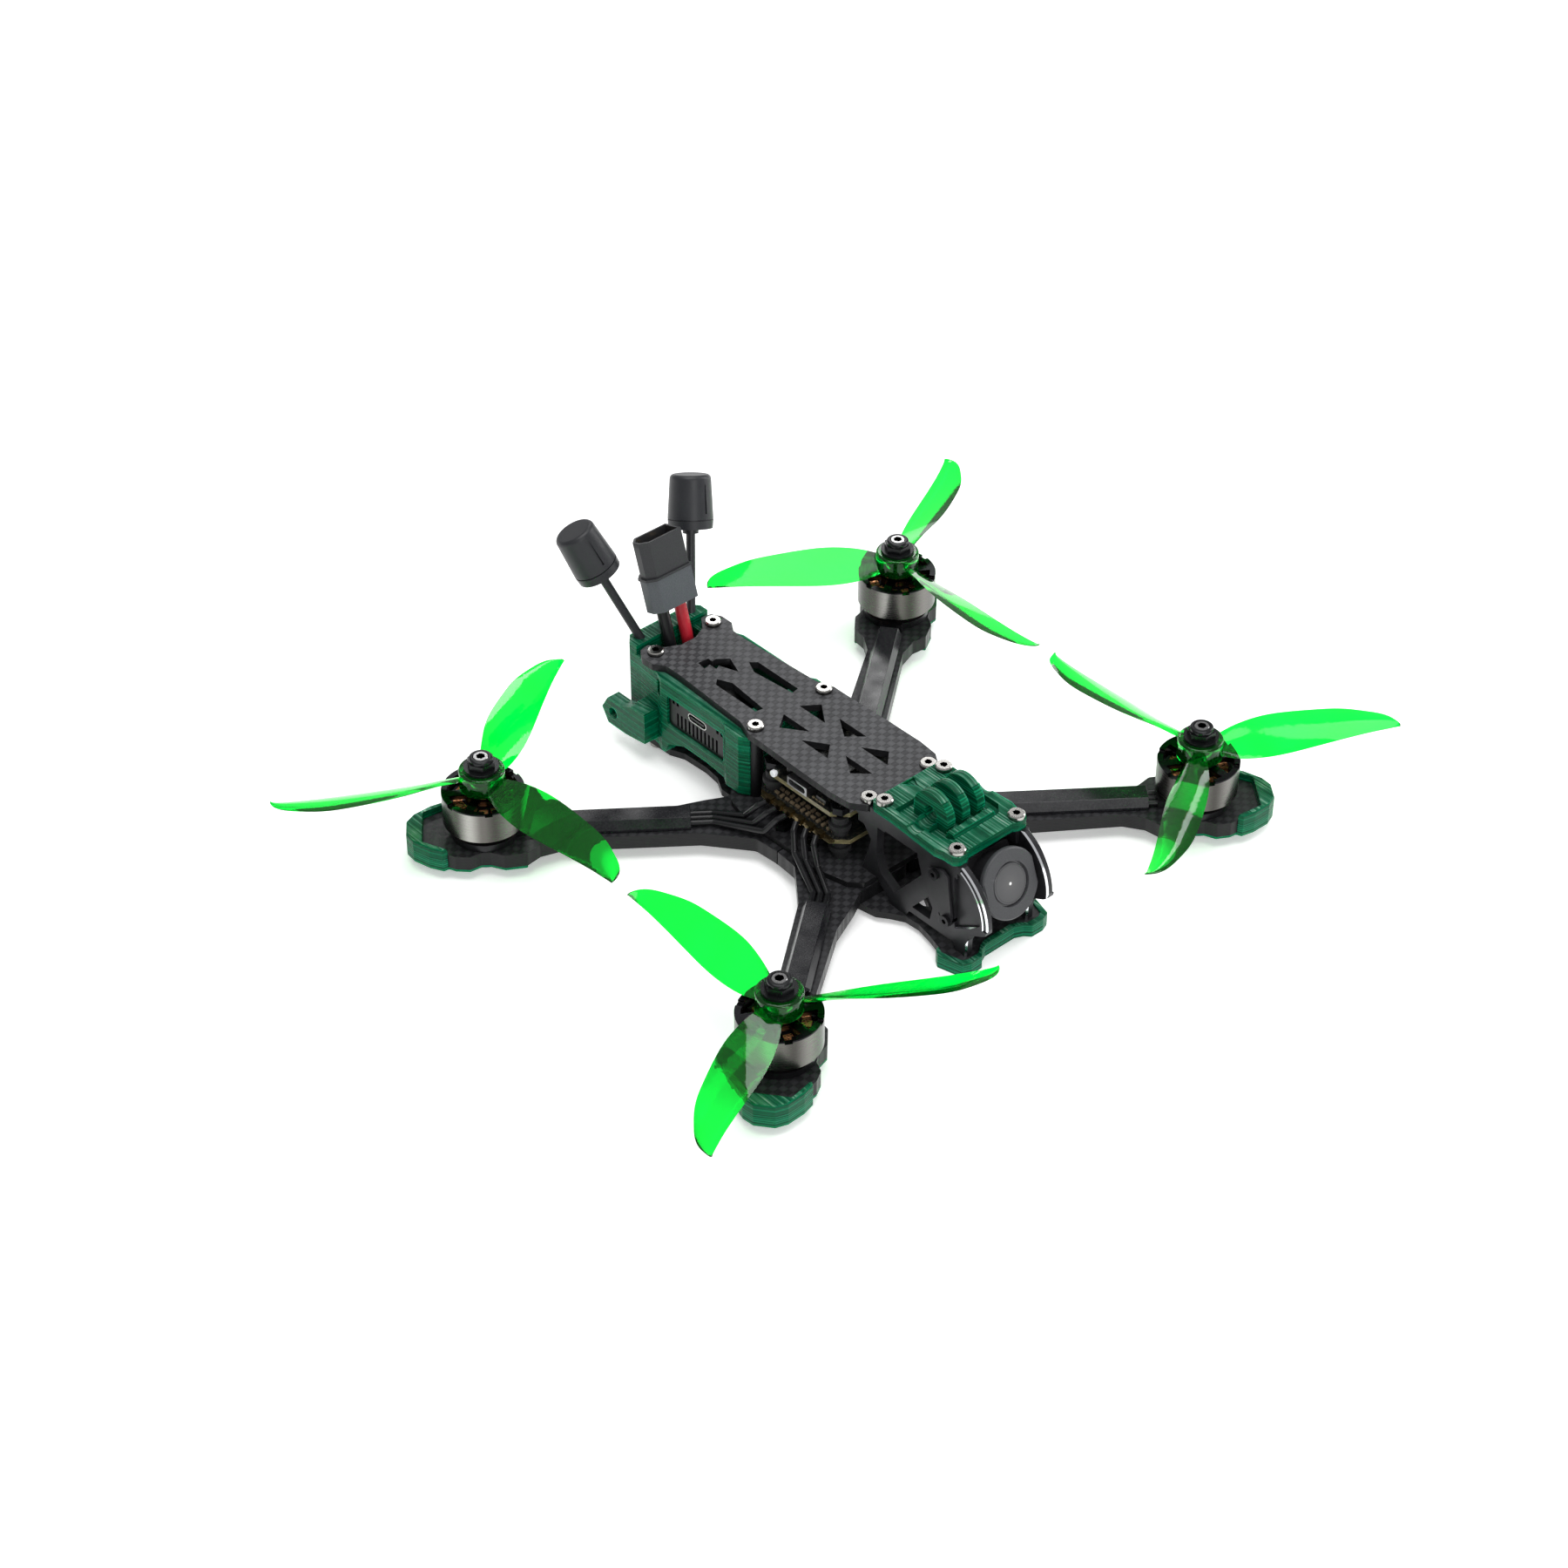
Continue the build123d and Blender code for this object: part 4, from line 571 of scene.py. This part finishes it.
def loaded(name, fill):
    """Mesh of small parts that one function fills."""
    mesh = bmesh.new()
    fill(mesh)
    data = bpy.data.meshes.new(name)
    mesh.to_mesh(data)
    mesh.free()
    piece = bpy.data.objects.new(name, data)
    bpy.context.scene.collection.objects.link(piece)
    paint(piece, ceramic, tin, chip_black, legend)
    edges = piece.modifiers.new("edges", "BEVEL")
    edges.width = 0.00004
    edges.segments = 1
    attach(piece, "airframe")
    return piece


def fill_upper(mesh):
    """Flight controller: two rows of small parts, four packages and a bar of printed marks."""
    level = UPPER_BOARD[1]
    for row in range(8):
        add_chip(mesh, -9.9 * MM, (5.6 - 1.6 * row) * MM, level, 1.1 * MM, 0.6 * MM, 0.5 * MM, False)
        add_chip(mesh, -7.4 * MM, (6.2 - 1.7 * row) * MM, level, 1.0 * MM, 0.55 * MM, 0.45 * MM, row % 2 == 0)
    for row in range(4):
        add_chip(mesh, -17.1 * MM, (-5.2 - 1.5 * row) * MM, level,
                 1.0 * MM, 0.55 * MM, 0.45 * MM, True)
    for x, y in ((-11.4, 8.8), (-5.6, -9.6), (4.6, -8.8), (3.6, 9.2)):
        add_package(mesh, x * MM, y * MM, level, 2.6 * MM, 0.9 * MM, 3)
    for mark in range(5):
        add_block(mesh, ((-13.2 + 0.9 * mark) * MM, 12.6 * MM, level + 0.02 * MM),
                  (0.5 * MM, 1.1 * MM, 0.04 * MM), 3)


def fill_lower(mesh):
    """Speed controller: rows of capacitors between the pads and the transistors."""
    level = LOWER_BOARD[1]
    for row in range(13):
        y = (-14.4 + 2.4 * row) * MM
        for column in range(2):
            add_chip(mesh, (-16.9 + 2.2 * column) * MM, y, level, 1.6 * MM, 0.9 * MM, 0.8 * MM,
                     random.random() < 0.4)
            add_chip(mesh, (16.9 - 2.2 * column) * MM, y, level, 1.6 * MM, 0.9 * MM, 0.8 * MM,
                     random.random() < 0.4)
    for y in (-7.4, 0.0, 7.4):
        add_package(mesh, -5.0 * MM, (y + 3.8) * MM, level, 2.2 * MM, 0.8 * MM, 3)


def port_collar(name, spot, wide, high, wire):
    """Plated rim round a charging port in the right-hand wall of the video unit."""
    line = bpy.data.curves.new(name, "CURVE")
    line.dimensions = "3D"
    line.bevel_depth = wire
    line.bevel_resolution = 3
    path = line.splines.new("POLY")
    steps = 12
    ring = []
    for end in (1, -1):
        for step in range(steps + 1):
            turn = math.pi * step / steps
            ring.append((spot[1] + end * ((wide - high) / 2 + math.sin(turn) * high / 2),
                         spot[2] + end * math.cos(turn) * high / 2))
    path.points.add(len(ring) - 1)
    for point, (y, z) in zip(path.points, ring):
        point.co = (spot[0], y, z, 1.0)
    path.use_cyclic_u = True
    piece = bpy.data.objects.new(name, line)
    bpy.context.scene.collection.objects.link(piece)
    paint(piece, tin)
    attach(piece, "airframe")
    return piece


unit_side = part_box("air_unit")[0][0]
port_collar("video_port_collar", (unit_side + 0.12 * MM, PORT_Y, PORT_Z), 8.6 * MM, 2.8 * MM, 0.2 * MM)

random.seed(5)
loaded("flight_board_parts", fill_upper)
loaded("speed_board_parts", fill_lower)


# ---------------------------------------------------------------- battery leads
def lead(name, side, material):
    """Silicone lead from the speed controller, under the video unit, up to the plug."""
    line = bpy.data.curves.new(name, "CURVE")
    line.dimensions = "3D"
    line.bevel_depth = LEAD_THICK / 2
    line.bevel_resolution = 6
    line.resolution_u = 16
    line.use_fill_caps = True
    path = line.splines.new("NURBS")
    path.points.add(len(LEAD_ROUTE) - 1)
    for point, (x, y, z) in zip(path.points, LEAD_ROUTE):
        point.co = (side * x, y, z, 1.0)
    path.order_u = 3
    path.use_endpoint_u = True
    piece = bpy.data.objects.new(name, line)
    bpy.context.scene.collection.objects.link(piece)
    line.materials.append(material.data)
    return piece


for name, side, material, end in (("battery_lead_black", -1, silicone_black, "plug_body"),
                                  ("battery_lead_red", 1, silicone_red, "plug_pins")):
    piece = lead(name, side, material)
    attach(piece, "airframe")
    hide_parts(name.replace("battery_", ""))


# ---------------------------------------------------------------- floor, light and camera
bpy.context.scene.view_settings.view_transform = "Standard"
floor_skin = Material("floor_white", (0.9, 0.9, 0.9), 0.7, Specular_IOR_Level=0.2,
                      Emission_Color=(1.0, 1.0, 1.0, 1.0), Emission_Strength=0.3)
cloud = floor_skin.noise(0.4, detail=1.0)
floor_skin.color(floor_skin.ramp(cloud, (0.3, (0.93, 0.93, 0.93)), (0.7, (0.95, 0.95, 0.95))))
sheet = bmesh.new()
bmesh.ops.create_grid(sheet, x_segments=4, y_segments=4, size=6.0)
floor_mesh = bpy.data.meshes.new("floor")
sheet.to_mesh(floor_mesh)
sheet.free()
floor = bpy.data.objects.new("floor", floor_mesh)
bpy.context.scene.collection.objects.link(floor)
paint(floor, floor_skin)

world = bpy.data.worlds.new("studio")
bpy.context.scene.world = world
world.use_nodes = True
world.node_tree.nodes["Background"].inputs["Color"].default_value = (1.0, 1.0, 1.0, 1.0)
world.node_tree.nodes["Background"].inputs["Strength"].default_value = 0.48


def softbox(name, spot, aim, wide, tall, power):
    """Rectangular studio light."""
    light = bpy.data.lights.new(name, "AREA")
    light.shape = "RECTANGLE"
    light.size = wide
    light.size_y = tall
    light.energy = power
    piece = bpy.data.objects.new(name, light)
    bpy.context.scene.collection.objects.link(piece)
    piece.location = spot
    piece.rotation_mode = "QUATERNION"
    piece.rotation_quaternion = (Vector(aim) - Vector(spot)).to_track_quat("-Z", "Y")
    return piece


softbox("softbox_back", (0.75, 0.95, 0.85), (0, 0, 0.03), 0.5, 0.15, 1.6)
softbox("softbox_front", (-0.35, -1.0, 0.55), (0, 0, 0.03), 0.5, 0.5, 4.0)
softbox("softbox_left", (1.0, -0.25, 0.5), (0, 0, 0.03), 0.4, 0.7, 5.0)
sky = bpy.data.lights.new("overhead", "SUN")
sky.energy = 2.2
sky.angle = math.radians(50)
overhead = bpy.data.objects.new("overhead", sky)
bpy.context.scene.collection.objects.link(overhead)

lens = bpy.data.cameras.new("camera")
lens.lens = 79.05
lens.sensor_width = 36.0
lens.clip_start = 0.01
lens.clip_end = 30.0
camera = bpy.data.objects.new("camera", lens)
bpy.context.scene.collection.objects.link(camera)
right = Vector((0.744, -0.668, 0.0)).normalized()
back = Vector((-0.52366, -0.58285, 0.62134)).normalized()
up = back.cross(right).normalized()
turn = Matrix((right, up, back)).transposed().to_4x4()
camera.matrix_world = Matrix.Translation((-0.57956, -0.61772, 0.69351)) @ turn
bpy.context.scene.camera = camera
